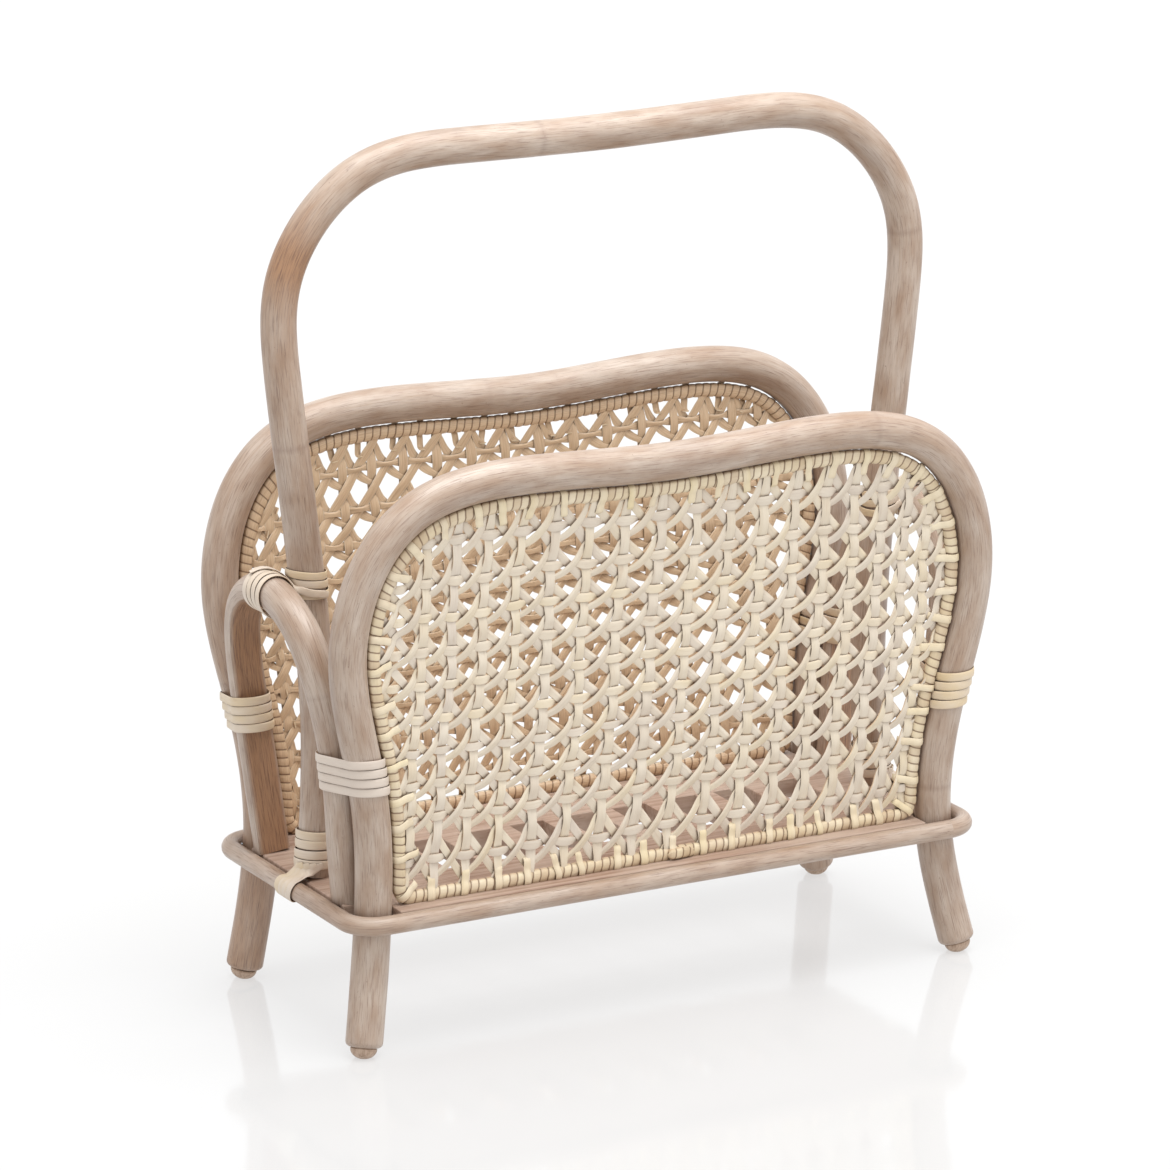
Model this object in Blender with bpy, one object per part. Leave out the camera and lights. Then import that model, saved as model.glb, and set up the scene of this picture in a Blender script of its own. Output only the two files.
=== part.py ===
"""Lashed rattan magazine rack: two bent side frames with woven cane panels, a carrying handle,
two end arches, a base board with its rim, cane lashings, foot plugs and hidden fasteners.

Metres, +Z up. The origin is on the floor below the middle of the rack, the length runs along X
and the front panel faces -Y.
"""

import math

import bmesh
import bpy
import numpy as np
from mathutils import Matrix, Vector

for leftover in list(bpy.data.objects):
    bpy.data.objects.remove(leftover)

# ---------------------------------------------------------------- driving dimensions
LENGTH = 0.4225            # over the widest part of the side frames
WAIST_DEPTH = 0.1426       # between the side frames' centre lines, at the rim
FRAME_HEIGHT = 0.3315      # floor to the top of a side frame
HANDLE_HEIGHT = 0.5006     # floor to the top of the handle
HANDLE_LENGTH = 0.4180     # over the widest part of the handle

POLE_D = 0.0220            # side frames
HANDLE_D = 0.0210          # carrying handle
ARCH_D = 0.0212            # end arches, before their inner side is shaved flat
ARCH_FLAT = 0.0050         # end arch's centre line to its shaved flat
RIM_D = 0.0110             # thin pole round the base
BORDER_D = 0.0070          # wrapped core round a cane panel
WEB_T = 0.0026             # woven cane

BOARD_TOP = 0.0820         # floor to the top of the base board
BOARD_T = 0.0120
SLOT_COUNT = 9             # slots cut across the board, in a row along it
SLOT_PITCH = 0.0336
SLOT_W = 0.0215
SLOT_L = 0.0530
RIM_Z = 0.0775             # floor to the rim's centre line

GAP = 0.0003               # between faces that touch
LASH_T = 0.0010            # thickness of a layer of cane lashing
LASH_SLACK = 0.0006        # room inside a lashing for the lean of what it holds

# How the side frames are bent.
WAIST_TUCK = 0.0188        # the waist is this much further in than the widest point
FOOT_TUCK = 0.0075         # and the foot this much
FOOT_SPREAD = 0.0102       # the feet stand this much wider apart, each way in depth
BACK_LEFT_SET = 0.0090     # the back left leg was bent this much less outwards in depth
SIDE_HOLLOW = 0.0045       # how far the side stays inside a straight run from waist to belly
FRAME_LEAN = 0.064         # outward lean above the waist, metres per metre
BELLY_DROP = 0.0903        # the widest point is this far below the top centre line
SHOULDER_DROP = 0.0331
SHOULDER_IN = 0.0148
CORNER_DROP = 0.0048
CORNER_IN = 0.0475

# How the handle is bent.
HIP_Z = 0.1711             # narrowest height
HIP_TUCK = 0.0040
FLARE_DROP = 0.1173        # widest height, below the top centre line
NECK_DROP = 0.0584
NECK_IN = 0.0029
BEND_DROP = 0.0083
BEND_IN = 0.0464
CROWN_RISE = 0.0013
CROWN_IN = 0.1145

# How the end arches are bent.
ARCH_APEX_Z = 0.2506       # centre line
ARCH_LEAD = 0.0055         # arch leg stands this much further out than the frame at its lashing
ARCH_SHOULDER = 0.0045     # the round of the arch springs this much inside its legs

CORNER_LASH_Z = 0.1620     # middle of the lashings that tie the arches to the frames
CORNER_LASH_H = 0.0200
APEX_LASH_W = 0.0200       # four turns round the arch
APEX_LASH_H = 0.0150       # three turns round the handle
FOOT_LASH_RISE = 0.0060    # bottom of the handle's foot lashing above the board
FOOT_LASH_H = 0.0200
RIM_LASH_W = 0.0210

PLUG_D = 0.0152
PLUG_H = 0.0058            # visible below the leg
PLUG_CUT = 0.0008          # taken off the dome so the foot stands flat
SPIGOT_D = 0.0080
SPIGOT_L = 0.0120
LEG_CHAMFER = 0.0030

PANEL_CORNER_R = 0.0090    # lower corners of a cane panel

SCREW_D = 0.0030
SCREW_HEAD_D = 0.0062
SCREW_HEAD_H = 0.0020
SCREW_L = 0.0300
NAIL_D = 0.0020
NAIL_COVER = 0.0022        # wood left over the buried end of a nail
NAIL_BITE = 0.0120         # how far a nail goes into the piece that it fastens to
BRAD_D = 0.0014
BRAD_COVER = 0.0012
BRAD_Z = 0.2000
BRAD_X = 0.0900

# ---------------------------------------------------------------- derived sizes
POLE_R = POLE_D / 2
HANDLE_R = HANDLE_D / 2
ARCH_R = ARCH_D / 2
RIM_R = RIM_D / 2
BORDER_R = BORDER_D / 2

FRAME_TOP_Z = FRAME_HEIGHT - POLE_R
HANDLE_TOP_Z = HANDLE_HEIGHT - HANDLE_R
BELLY_X = LENGTH / 2 - POLE_R
WAIST_X = BELLY_X - WAIST_TUCK
WAIST_Y = WAIST_DEPTH / 2
RIM_CLEAR = 3 * GAP        # the legs bend where the rim grips them
RIM_X = WAIST_X + POLE_R + RIM_R + RIM_CLEAR
RIM_Y = WAIST_Y + POLE_R + RIM_R + RIM_CLEAR
SOLE_Z = BOARD_TOP + GAP   # where the handle and the arches stand
SIDES = 10                 # flats round a bent pole
ARCH_SIDES = 12            # an even spread about the middle of the flat
THIN_SIDES = 8
FRAME_RINGS = 55           # stations along a bent frame
HANDLE_RINGS = 47
ARCH_RINGS = 33

FINISHES = {
    # name: (linear colour, roughness)
    "washed_rattan": ((0.50, 0.41, 0.33), 0.60),
    "cane_peel": ((0.74, 0.65, 0.48), 0.45),
    "stained_board": ((0.44, 0.31, 0.25), 0.65),
    "turned_wood": ((0.40, 0.30, 0.22), 0.60),
    "steel": ((0.55, 0.55, 0.56), 0.35),
}


# ---------------------------------------------------------------- general tools
def material(name):
    """The named finish as a Principled material."""
    found = bpy.data.materials.get(name)
    if found:
        return found
    colour, roughness = FINISHES[name]
    made = bpy.data.materials.new(name)
    made.use_nodes = True
    shader = made.node_tree.nodes["Principled BSDF"]
    shader.inputs["Base Color"].default_value = (*colour, 1.0)
    shader.inputs["Roughness"].default_value = roughness
    shader.inputs["Metallic"].default_value = 1.0 if name == "steel" else 0.0
    return made


def put(name, mesh, finish=None):
    """Links a mesh as a named piece, or as a hidden cutter when it has no finish."""
    piece = bpy.data.objects.new(name, mesh)
    bpy.context.scene.collection.objects.link(piece)
    if finish is None:
        piece.hide_render = True
        piece.display_type = "WIRE"
        return piece
    mesh.materials.clear()
    mesh.materials.append(material(finish))
    mesh.shade_smooth()
    mesh.set_sharp_from_angle(angle=math.radians(40))
    return piece


def combine(piece, operation, *cutters):
    """Adds an exact Boolean with each cutter to the piece."""
    for cutter in cutters:
        cut = piece.modifiers.new(operation.title(), "BOOLEAN")
        cut.operation = operation
        cut.solver = "EXACT"
        cut.object = cutter


def spline(points, count):
    """A natural cubic spline through the points, in evenly spaced steps, as a bent pole settles."""
    knots = np.array(points, float)
    spans = np.linalg.norm(np.diff(knots, axis=0), axis=1) ** 0.75
    times = np.concatenate([[0.0], np.cumsum(spans)])
    matrix = np.eye(len(knots))
    right = np.zeros_like(knots)
    for i in range(1, len(knots) - 1):
        matrix[i, i - 1:i + 2] = spans[i - 1], 2 * (spans[i - 1] + spans[i]), spans[i]
        slopes = (knots[i + 1] - knots[i]) / spans[i] - (knots[i] - knots[i - 1]) / spans[i - 1]
        right[i] = 6 * slopes
    bends = np.linalg.solve(matrix, right)
    fine = np.linspace(0.0, times[-1], 20 * count)
    span = np.clip(np.searchsorted(times, fine, side="right") - 1, 0, len(spans) - 1)
    width = spans[span][:, None]
    after = ((fine - times[span])[:, None]) / width
    before = 1 - after
    curve = before * knots[span] + after * knots[span + 1]
    curve += ((before ** 3 - before) * bends[span] + (after ** 3 - after) * bends[span + 1]) * width ** 2 / 6
    run = np.concatenate([[0.0], np.cumsum(np.linalg.norm(np.diff(curve, axis=0), axis=1))])
    steps = np.linspace(0.0, run[-1], count)
    return np.stack([np.interp(steps, run, curve[:, axis]) for axis in range(3)], axis=1)


def tube_mesh(name, path, radius, sides, closed=False, end_radius=None):
    """A round bar along the path as a mesh, with its rings in the path's order."""
    path = np.array(path, float)
    before, after = np.roll(path, 1, axis=0), np.roll(path, -1, axis=0)
    if not closed:
        before[0], after[-1] = path[0], path[-1]
    tangents = (after - before) / np.linalg.norm(after - before, axis=1)[:, None]
    side = np.cross(tangents[0], np.eye(3)[np.argmin(np.abs(tangents[0]))])
    angles = np.linspace(0.0, 2 * math.pi, sides, endpoint=False)[:, None]
    build = bmesh.new()
    loops = []
    for index, (centre, tangent) in enumerate(zip(path, tangents)):
        side = side - tangent * (side @ tangent)
        side /= np.linalg.norm(side)
        rise = np.cross(tangent, side)
        at_end = end_radius and index in (0, len(path) - 1)
        size = end_radius if at_end else radius
        ring = centre + size * (np.cos(angles) * side + np.sin(angles) * rise)
        verts = [build.verts.new(point) for point in ring]
        loops.append([build.edges.new(pair) for pair in zip(verts, verts[1:] + verts[:1])])
        if not closed and index in (0, len(path) - 1):
            build.faces.new(verts)
    following = loops[1:] + (loops[:1] if closed else [])
    for first, second in zip(loops, following):
        bmesh.ops.bridge_loops(build, edges=first + second)
    bmesh.ops.recalc_face_normals(build, faces=build.faces)
    mesh = bpy.data.meshes.new(name)
    build.to_mesh(mesh)
    build.free()
    return mesh


def shave(mesh, path, sides, flat):
    """Flattens the inner side of an arch's bar, which runs up its front leg and down its back one."""
    tangents = np.gradient(path, axis=0)
    places = np.zeros(len(mesh.vertices) * 3)
    mesh.vertices.foreach_get("co", places)
    places = places.reshape(-1, 3)
    for index, (centre, tangent) in enumerate(zip(path, tangents)):
        inward = np.cross(tangent, (1.0, 0.0, 0.0))
        inward /= np.linalg.norm(inward)
        ring = places[index * sides:(index + 1) * sides]
        depth = (ring - centre) @ inward
        ring -= np.outer(np.maximum(depth - flat, 0.0), inward)
    mesh.vertices.foreach_set("co", places.ravel())
    mesh.update()
    return mesh


def level(mesh, height):
    """Cuts off what lies below a height and closes the cut with a flat face."""
    build = bmesh.new()
    build.from_mesh(mesh)
    everything = build.verts[:] + build.edges[:] + build.faces[:]
    cut = bmesh.ops.bisect_plane(
        build, geom=everything, plane_co=(0, 0, height), plane_no=(0, 0, -1), clear_outer=True)
    edges = [item for item in cut["geom_cut"] if isinstance(item, bmesh.types.BMEdge)]
    bmesh.ops.holes_fill(build, edges=edges, sides=0)
    bmesh.ops.recalc_face_normals(build, faces=build.faces)
    build.to_mesh(mesh)
    build.free()
    return mesh


def run_down(path):
    """The path with both its feet carried a little further, so that they can be cut level."""
    return np.vstack([2 * path[0] - path[1], path, 2 * path[-1] - path[-2]])


def turned_mesh(name, profile, start, direction, steps=12):
    """A turned solid: (radius, height) pairs spun about the line from start along direction."""
    build = bmesh.new()
    turn = direction.to_track_quat("Z", "Y").to_matrix().to_4x4()
    place = Matrix.Translation(start) @ turn
    points = [build.verts.new((radius, 0.0, height)) for radius, height in profile]
    edges = [build.edges.new(pair) for pair in zip(points, points[1:])]
    bmesh.ops.spin(
        build, geom=points + edges, cent=(0, 0, 0), axis=(0, 0, 1),
        angle=2 * math.pi, steps=steps, use_merge=True,
    )
    bmesh.ops.remove_doubles(build, verts=build.verts, dist=1e-6)
    bmesh.ops.recalc_face_normals(build, faces=build.faces)
    bmesh.ops.transform(build, matrix=place, verts=build.verts)
    mesh = bpy.data.meshes.new(name)
    build.to_mesh(mesh)
    build.free()
    return mesh


def plate_mesh(name, outline, thickness):
    """A flat or gently leaning plate, from the outline of its one side and its thickness vector."""
    build = bmesh.new()
    face = build.faces.new([build.verts.new(point) for point in outline])
    raised = bmesh.ops.extrude_face_region(build, geom=[face])["geom"]
    moved = [item for item in raised if isinstance(item, bmesh.types.BMVert)]
    bmesh.ops.translate(build, vec=thickness, verts=moved)
    bmesh.ops.recalc_face_normals(build, faces=build.faces)
    mesh = bpy.data.meshes.new(name)
    build.to_mesh(mesh)
    build.free()
    return mesh


def arc(centre_x, centre_y, radius, start, end, steps):
    """Points on a circle in the plane, from one angle to another in degrees."""
    turns = [math.radians(start + (end - start) * i / steps) for i in range(steps + 1)]
    return [(centre_x + radius * math.cos(a), centre_y + radius * math.sin(a)) for a in turns]


# ---------------------------------------------------------------- centre lines
def frame_path():
    """The front frame's centre line from its left foot over the top to its right foot."""
    belly_z = FRAME_TOP_Z - BELLY_DROP

    def depth(height):
        return -(WAIST_Y + FRAME_LEAN * (height - RIM_Z))

    middle_z = (RIM_Z + belly_z) / 2
    half = [
        (BELLY_X - FOOT_TUCK, -(WAIST_Y + FOOT_SPREAD), PLUG_H),
        (WAIST_X, -WAIST_Y, RIM_Z),
        ((WAIST_X + BELLY_X) / 2 - SIDE_HOLLOW, depth(middle_z), middle_z),
        (BELLY_X, depth(belly_z), belly_z),
        (BELLY_X - SHOULDER_IN, depth(FRAME_TOP_Z - SHOULDER_DROP), FRAME_TOP_Z - SHOULDER_DROP),
        (BELLY_X - CORNER_IN, depth(FRAME_TOP_Z - CORNER_DROP), FRAME_TOP_Z - CORNER_DROP),
    ]
    left = [(-x, y, z) for x, y, z in half]
    return spline(left + [(0.0, depth(FRAME_TOP_Z), FRAME_TOP_Z)] + half[::-1], FRAME_RINGS)


def handle_path():
    """The handle's centre line from its left foot over the top to its right foot."""
    wide = HANDLE_LENGTH / 2 - HANDLE_R
    reach = RIM_R + LASH_T + 2 * GAP
    lift = min(SOLE_Z - RIM_Z, reach)
    foot_x = RIM_X - math.sqrt(reach ** 2 - lift ** 2) - HANDLE_R
    half = [
        (foot_x, 0.0, SOLE_Z),
        (foot_x - HIP_TUCK, 0.0, HIP_Z),
        (wide, 0.0, HANDLE_TOP_Z - FLARE_DROP),
        (wide - NECK_IN, 0.0, HANDLE_TOP_Z - NECK_DROP),
        (wide - BEND_IN, 0.0, HANDLE_TOP_Z - BEND_DROP),
        (wide - CROWN_IN, 0.0, HANDLE_TOP_Z + CROWN_RISE),
    ]
    left = [(-x, y, z) for x, y, z in half]
    return spline(left + [(0.0, 0.0, HANDLE_TOP_Z)] + half[::-1], HANDLE_RINGS)


def at_height(path, height):
    """Where the right-hand side of a mirrored path passes a height, as (x, y)."""
    half = path[len(path) // 2:][::-1]
    rise = half[:, 2]
    return tuple(float(np.interp(height, rise, half[:, axis])) for axis in (0, 1))


FRAME_PATH = frame_path()
HANDLE_PATH = handle_path()


def arch_path():
    """The right arch's centre line, up its front leg and down its back one."""
    touch = POLE_R + ARCH_R + 2 * GAP
    reach = RIM_R + GAP
    lift = min(SOLE_Z - RIM_Z, reach)
    foot_x = RIM_X - math.sqrt(reach ** 2 - lift ** 2) - ARCH_R
    apex_x = at_height(HANDLE_PATH, ARCH_APEX_Z)[0] + apex_pitch()

    def beside_frame(height, x):
        frame_x, frame_y = at_height(FRAME_PATH, height)
        return (x, frame_y + math.sqrt(touch ** 2 - (x - frame_x) ** 2), height)

    lash_x = at_height(FRAME_PATH, CORNER_LASH_Z)[0] + ARCH_LEAD
    foot = beside_frame(SOLE_Z, foot_x)
    lash = beside_frame(CORNER_LASH_Z, lash_x)
    middle = beside_frame((SOLE_Z + CORNER_LASH_Z) / 2, (foot_x + lash_x) / 2)
    radius = min(-lash[1] - ARCH_SHOULDER, ARCH_APEX_Z - CORNER_LASH_Z - CORNER_LASH_H / 2)
    springing = ARCH_APEX_Z - radius
    front = [foot, middle, lash]
    for turn in (15, 45, 70):
        height = springing + radius * math.sin(math.radians(turn))
        share = (height - CORNER_LASH_Z) / (ARCH_APEX_Z - CORNER_LASH_Z)
        y = -radius * math.cos(math.radians(turn))
        front.append((lash_x + (apex_x - lash_x) * share, y, height))
    back = [(x, -y, z) for x, y, z in front]
    return spline(front + [(apex_x, 0.0, ARCH_APEX_Z)] + back[::-1], ARCH_RINGS)


def apex_pitch():
    """Centre distance of handle and arch, with one layer of lashing between them."""
    return HANDLE_R + ARCH_R + 1.2 * LASH_T + LASH_SLACK + 2 * GAP


ARCH_PATH = arch_path()


def rim_path():
    """The rim's centre line, round the outside of the four legs."""
    radius = RIM_X - WAIST_X
    points = []
    for sign_x, sign_y, start in ((1, -1, -90), (1, 1, 0), (-1, 1, 90), (-1, -1, 180)):
        corner = arc(sign_x * WAIST_X, sign_y * WAIST_Y, radius, start, start + 90, 6)
        points += [(x, y, RIM_Z) for x, y in corner]
    return points


def panel_outline(inset):
    """The front panel's outline, this far inside the frame's centre line and above the board."""
    step = np.gradient(FRAME_PATH[:, (0, 2)], axis=0)
    step /= np.linalg.norm(step, axis=1)[:, None]
    inner = FRAME_PATH[:, (0, 2)] + inset * np.stack([step[:, 1], -step[:, 0]], axis=1)
    sill = SOLE_Z + inset - POLE_R - panel_gap() + GAP
    turn_z = sill + PANEL_CORNER_R
    upper = [tuple(point) for point in inner if point[1] > turn_z + PANEL_CORNER_R / 2]
    left_side = inner[:FRAME_RINGS // 3]
    side_x = float(np.interp(turn_z, left_side[:, 1], -left_side[:, 0])) - PANEL_CORNER_R
    right = arc(side_x, turn_z, PANEL_CORNER_R, 0, -90, 3)
    left = [(-x, z) for x, z in right[::-1]]
    outline = upper + right + left
    depth = [at_height(FRAME_PATH, z)[1] for x, z in outline]
    return [(x, y, z) for (x, z), y in zip(outline, depth)]


def panel_gap():
    """Room between frame and panel border for the lashing that passes there."""
    return LASH_T + LASH_SLACK + 2 * GAP


# ---------------------------------------------------------------- pieces
def mirrored(path, sign_x, sign_y):
    """The path moved to the named side."""
    return np.array(path) * (sign_x, sign_y, 1.0)


def set_in(path, shift):
    """Bends the left leg of a back frame towards the middle, from under the board down to its foot."""
    top = BOARD_TOP - BOARD_T
    below = path[:len(path) // 2]
    share = np.clip((top - below[:, 2]) / (top - PLUG_H), 0.0, 1.0)
    below[:, 1] -= shift * share * (1 + share) / 2


def lash_band(name, outlines):
    """A band of lashing: outlines at rising heights, skinned and given their thickness outwards."""
    build = bmesh.new()
    below = None
    for outline in outlines:
        ring = [build.verts.new(point) for point in outline]
        edges = [build.edges.new(pair) for pair in zip(ring, ring[1:] + ring[:1])]
        if below:
            bmesh.ops.bridge_loops(build, edges=below + edges)
        below = edges
    bmesh.ops.recalc_face_normals(build, faces=build.faces)
    mesh = bpy.data.meshes.new(name)
    build.to_mesh(mesh)
    build.free()
    wall = put(name, mesh, "cane_peel").modifiers.new("Thickness", "SOLIDIFY")
    wall.thickness = LASH_T
    wall.offset = 1.0
    wall.use_even_offset = True


def racetrack(first, first_radius, second, second_radius, steps=8):
    """The outline of a strap pulled round two upright poles, as (x, y) points."""
    line = np.array(second) - np.array(first)
    span = float(np.linalg.norm(line))
    heading = math.degrees(math.atan2(line[1], line[0]))
    lean = math.degrees(math.acos((first_radius - second_radius) / span))
    near = arc(*first, first_radius, heading + lean, heading + 360 - lean, steps)
    far = arc(*second, second_radius, heading - lean, heading + lean, steps)
    return near + far


def sleeve(name, path, inner, outer, sides, flat=None):
    """The outer solid of a wrapped stretch of pole, and the cutter that leaves its wall."""
    solid = tube_mesh(name, path, outer, sides)
    first, last = path[0] - path[1], path[-1] - path[-2]
    longer = np.vstack([path[0] + first, path, path[-1] + last])
    hollow = tube_mesh(name + "_hollow", longer, inner, sides)
    if flat:
        shave(solid, path, sides, flat + outer - inner)
        shave(hollow, longer, sides, flat)
    return solid, put(name + "_hollow", hollow)


def drilled(name, start, direction, profile, grow, *pieces):
    """A turned fastener and its clearance hole in every piece that it passes."""
    fastener = put(name, turned_mesh(name, profile, start, direction, 10), "steel")
    hole = [(radius + grow if radius else 0.0, height) for radius, height in profile]
    low, high = hole[0][1], hole[-1][1]
    hole = [(radius, height - grow if height == low else height) for radius, height in hole]
    hole = [(radius, height + grow if height == high else height) for radius, height in hole]
    cutter = put(name + "_hole", turned_mesh(name + "_hole", hole, start, direction, 10))
    for piece in pieces:
        combine(piece, "DIFFERENCE", cutter)
    return fastener


def pin_profile(diameter, length):
    """A plain pin from its buried end."""
    return [(0.0, 0.0), (diameter / 2, 0.0), (diameter / 2, length), (0.0, length)]


def screw_profile():
    """A screw from the face of its head."""
    shank = SCREW_D / 2
    return [
        (0.0, 0.0), (SCREW_HEAD_D / 2, 0.0), (SCREW_HEAD_D / 2, SCREW_HEAD_H),
        (shank, SCREW_HEAD_H), (shank, SCREW_L), (0.0, SCREW_L),
    ]


def plug_profile():
    """A foot plug from the tip of its dome to the top of its spigot."""
    dome = [
        (PLUG_D / 2 * math.sin(math.radians(a)), PLUG_H * (1 - math.cos(math.radians(a))))
        for a in (0, 30, 55, 75)
    ]
    top = PLUG_H + PLUG_CUT - GAP
    return dome + [
        (PLUG_D / 2, top), (SPIGOT_D / 2, top), (SPIGOT_D / 2, top + SPIGOT_L), (0.0, top + SPIGOT_L),
    ]


def foot_plug(name, leg_end, up_leg, leg):
    """A domed plug in the end of a leg, levelled where it stands."""
    start = Vector(leg_end) - up_leg * (PLUG_H + PLUG_CUT)
    mesh = level(turned_mesh(name, plug_profile(), start, up_leg), 0.0)
    socket = pin_profile(SPIGOT_D + 2 * GAP, SPIGOT_L + 3 * GAP)
    socket_start = Vector(leg_end) - up_leg * GAP
    cutter = put(name + "_socket", turned_mesh(name + "_socket", socket, socket_start, up_leg))
    combine(leg, "DIFFERENCE", cutter)
    return put(name, mesh, "turned_wood")


def base_board():
    """The board, notched for the legs and the rim lashings, with a row of slots along its middle."""
    half_x = RIM_X - RIM_R - GAP
    half_y = RIM_Y - RIM_R - GAP
    notch_r = POLE_R + RIM_CLEAR
    slot_x = RIM_X - RIM_R - LASH_T - 3 * GAP
    slot_y = RIM_LASH_W / 2 + 2 * GAP
    quarter = [(slot_x, 0.0), (slot_x, slot_y), (half_x, slot_y), (half_x, WAIST_Y - notch_r)]
    quarter += arc(WAIST_X, WAIST_Y, notch_r, 270, 180, 5)
    quarter += [(WAIST_X - notch_r, half_y)]
    outline = quarter + [(-x, y) for x, y in quarter[::-1]]
    outline += [(-x, -y) for x, y in quarter[1:]] + [(x, -y) for x, y in quarter[:0:-1]]
    low = [(x, y, BOARD_TOP - BOARD_T) for x, y in outline]
    board = put("base_board", plate_mesh("base_board", low, (0, 0, BOARD_T)), "stained_board")
    for i in range(SLOT_COUNT):
        middle_x = (i - (SLOT_COUNT - 1) / 2) * SLOT_PITCH
        corners = [
            (middle_x + turn_x * SLOT_W / 2, turn_y * SLOT_L / 2, BOARD_TOP - 2 * BOARD_T)
            for turn_x, turn_y in ((-1, -1), (1, -1), (1, 1), (-1, 1))
        ]
        cutter = plate_mesh("base_board_slot", corners, (0, 0, 3 * BOARD_T))
        combine(board, "DIFFERENCE", put("base_board_slot", cutter))
    return board


def build_rack():
    """Makes every piece of the rack."""
    board = base_board()
    rim = put("base_rim", tube_mesh("base_rim", rim_path(), RIM_R, THIN_SIDES, closed=True), "washed_rattan")
    bar = tube_mesh("carry_handle", run_down(HANDLE_PATH), HANDLE_R, SIDES)
    handle = put("carry_handle", level(bar, SOLE_Z), "washed_rattan")
    paths = {}
    frames = {}
    borders = {}
    for side, sign_y in (("front", 1), ("back", -1)):
        path = paths[side] = mirrored(FRAME_PATH, 1, sign_y)
        if side == "back":
            set_in(path, BACK_LEFT_SET)
        near = path[0] + (path[1] - path[0]) * LEG_CHAMFER / np.linalg.norm(path[1] - path[0])
        far = path[-1] + (path[-2] - path[-1]) * LEG_CHAMFER / np.linalg.norm(path[-2] - path[-1])
        chamfered = np.vstack([path[:1], [near], path[1:-1], [far], path[-1:]])
        bar = tube_mesh(side + "_frame", chamfered, POLE_R, SIDES, end_radius=POLE_R - LEG_CHAMFER)
        frames[side] = put(side + "_frame", bar, "washed_rattan")

        ring = mirrored(panel_outline(POLE_R + panel_gap() + BORDER_R), 1, sign_y)
        core = tube_mesh(side + "_panel_border", ring, BORDER_R, THIN_SIDES, closed=True)
        borders[side] = put(side + "_panel_border", core, "cane_peel")
        edge = mirrored(panel_outline(POLE_R + panel_gap() + BORDER_D + GAP), 1, sign_y)
        web = plate_mesh(side + "_cane_web", edge + (0, -WEB_T / 2, 0), (0, WEB_T, 0))
        put(side + "_cane_web", web, "cane_peel")

    for end, sign_x in (("left", -1), ("right", 1)):
        path = mirrored(ARCH_PATH, sign_x, 1)
        line = run_down(path)
        bar = shave(tube_mesh(end + "_end_arch", line, ARCH_R, ARCH_SIDES), line, ARCH_SIDES, ARCH_FLAT)
        arch = put(end + "_end_arch", level(bar, SOLE_Z), "washed_rattan")
        lash_end(end, sign_x, path)
        fasten_end(end, sign_x, path, arch, handle, board)
        for side, sign_y in (("front", 1), ("back", -1)):
            name = side + "_" + end
            lash_corner(name, sign_x, sign_y)
            leg = paths[side] if end == "left" else paths[side][::-1]
            foot = Vector(leg[0])
            up_leg = (Vector(leg[1]) - foot).normalized()
            foot_plug(name + "_foot_plug", foot, up_leg, frames[side])
            nail_corner(name, sign_x, sign_y, rim, frames[side], board)
            brad_panel(name, sign_x, sign_y, borders[side], frames[side], board)


def lash_corner(name, sign_x, sign_y):
    """Four turns of cane that tie an arch leg to its frame."""
    outlines = []
    front = ARCH_PATH[:len(ARCH_PATH) // 2]
    for share in (-0.5, 0.0, 0.5):
        height = CORNER_LASH_Z + share * CORNER_LASH_H
        leg = tuple(float(np.interp(height, front[:, 2], front[:, axis])) for axis in (0, 1))
        room = GAP + LASH_SLACK
        outline = racetrack(at_height(FRAME_PATH, height), POLE_R + room, leg, ARCH_R + room)
        outlines.append([(x * sign_x, y * sign_y, height) for x, y in outline])
    lash_band(name + "_lashing", outlines)


def lash_end(end, sign_x, arch):
    """The lashings of one end: arch to handle, round the handle's foot, and round the rim."""
    wall = GAP + LASH_T
    room = GAP + LASH_SLACK
    half = mirrored(HANDLE_PATH[len(HANDLE_PATH) // 2:][::-1], sign_x, 1)

    def handle_stretch(low, high):
        heights = np.linspace(low, high, 4)
        columns = [np.interp(heights, half[:, 2], half[:, axis]) for axis in (0, 1)]
        return np.stack(columns + [heights], axis=1)

    ys = np.linspace(-APEX_LASH_W / 2, APEX_LASH_W / 2, 5)
    top = arch[ARCH_RINGS // 3:-ARCH_RINGS // 3]
    over = np.stack([np.interp(ys, top[:, 1], top[:, axis]) for axis in range(3)], axis=1)
    name = end + "_apex_lashing"
    arch_solid, arch_hollow = sleeve(
        name, over, ARCH_R + room, ARCH_R + room + LASH_T, ARCH_SIDES, flat=ARCH_FLAT + room)
    turns = handle_stretch(ARCH_APEX_Z - APEX_LASH_H / 2, ARCH_APEX_Z + APEX_LASH_H / 2)
    handle_solid, handle_hollow = sleeve(
        name + "_turns", turns, HANDLE_R + GAP, HANDLE_R + wall, SIDES)
    lashing = put(name, arch_solid, "cane_peel")
    combine(lashing, "UNION", put(name + "_turns", handle_solid))
    combine(lashing, "DIFFERENCE", arch_hollow, handle_hollow)

    name = end + "_foot_lashing"
    bottom = BOARD_TOP + FOOT_LASH_RISE
    solid, hollow = sleeve(
        name, handle_stretch(bottom, bottom + FOOT_LASH_H), HANDLE_R + GAP, HANDLE_R + wall, SIDES)
    combine(put(name, solid, "cane_peel"), "DIFFERENCE", hollow)

    name = end + "_rim_lashing"
    run = np.array([(sign_x * RIM_X, y, RIM_Z) for y in (-RIM_LASH_W / 2, 0.0, RIM_LASH_W / 2)])
    solid, hollow = sleeve(name, run, RIM_R + GAP, RIM_R + wall, THIN_SIDES)
    combine(put(name, solid, "cane_peel"), "DIFFERENCE", hollow)


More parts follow.
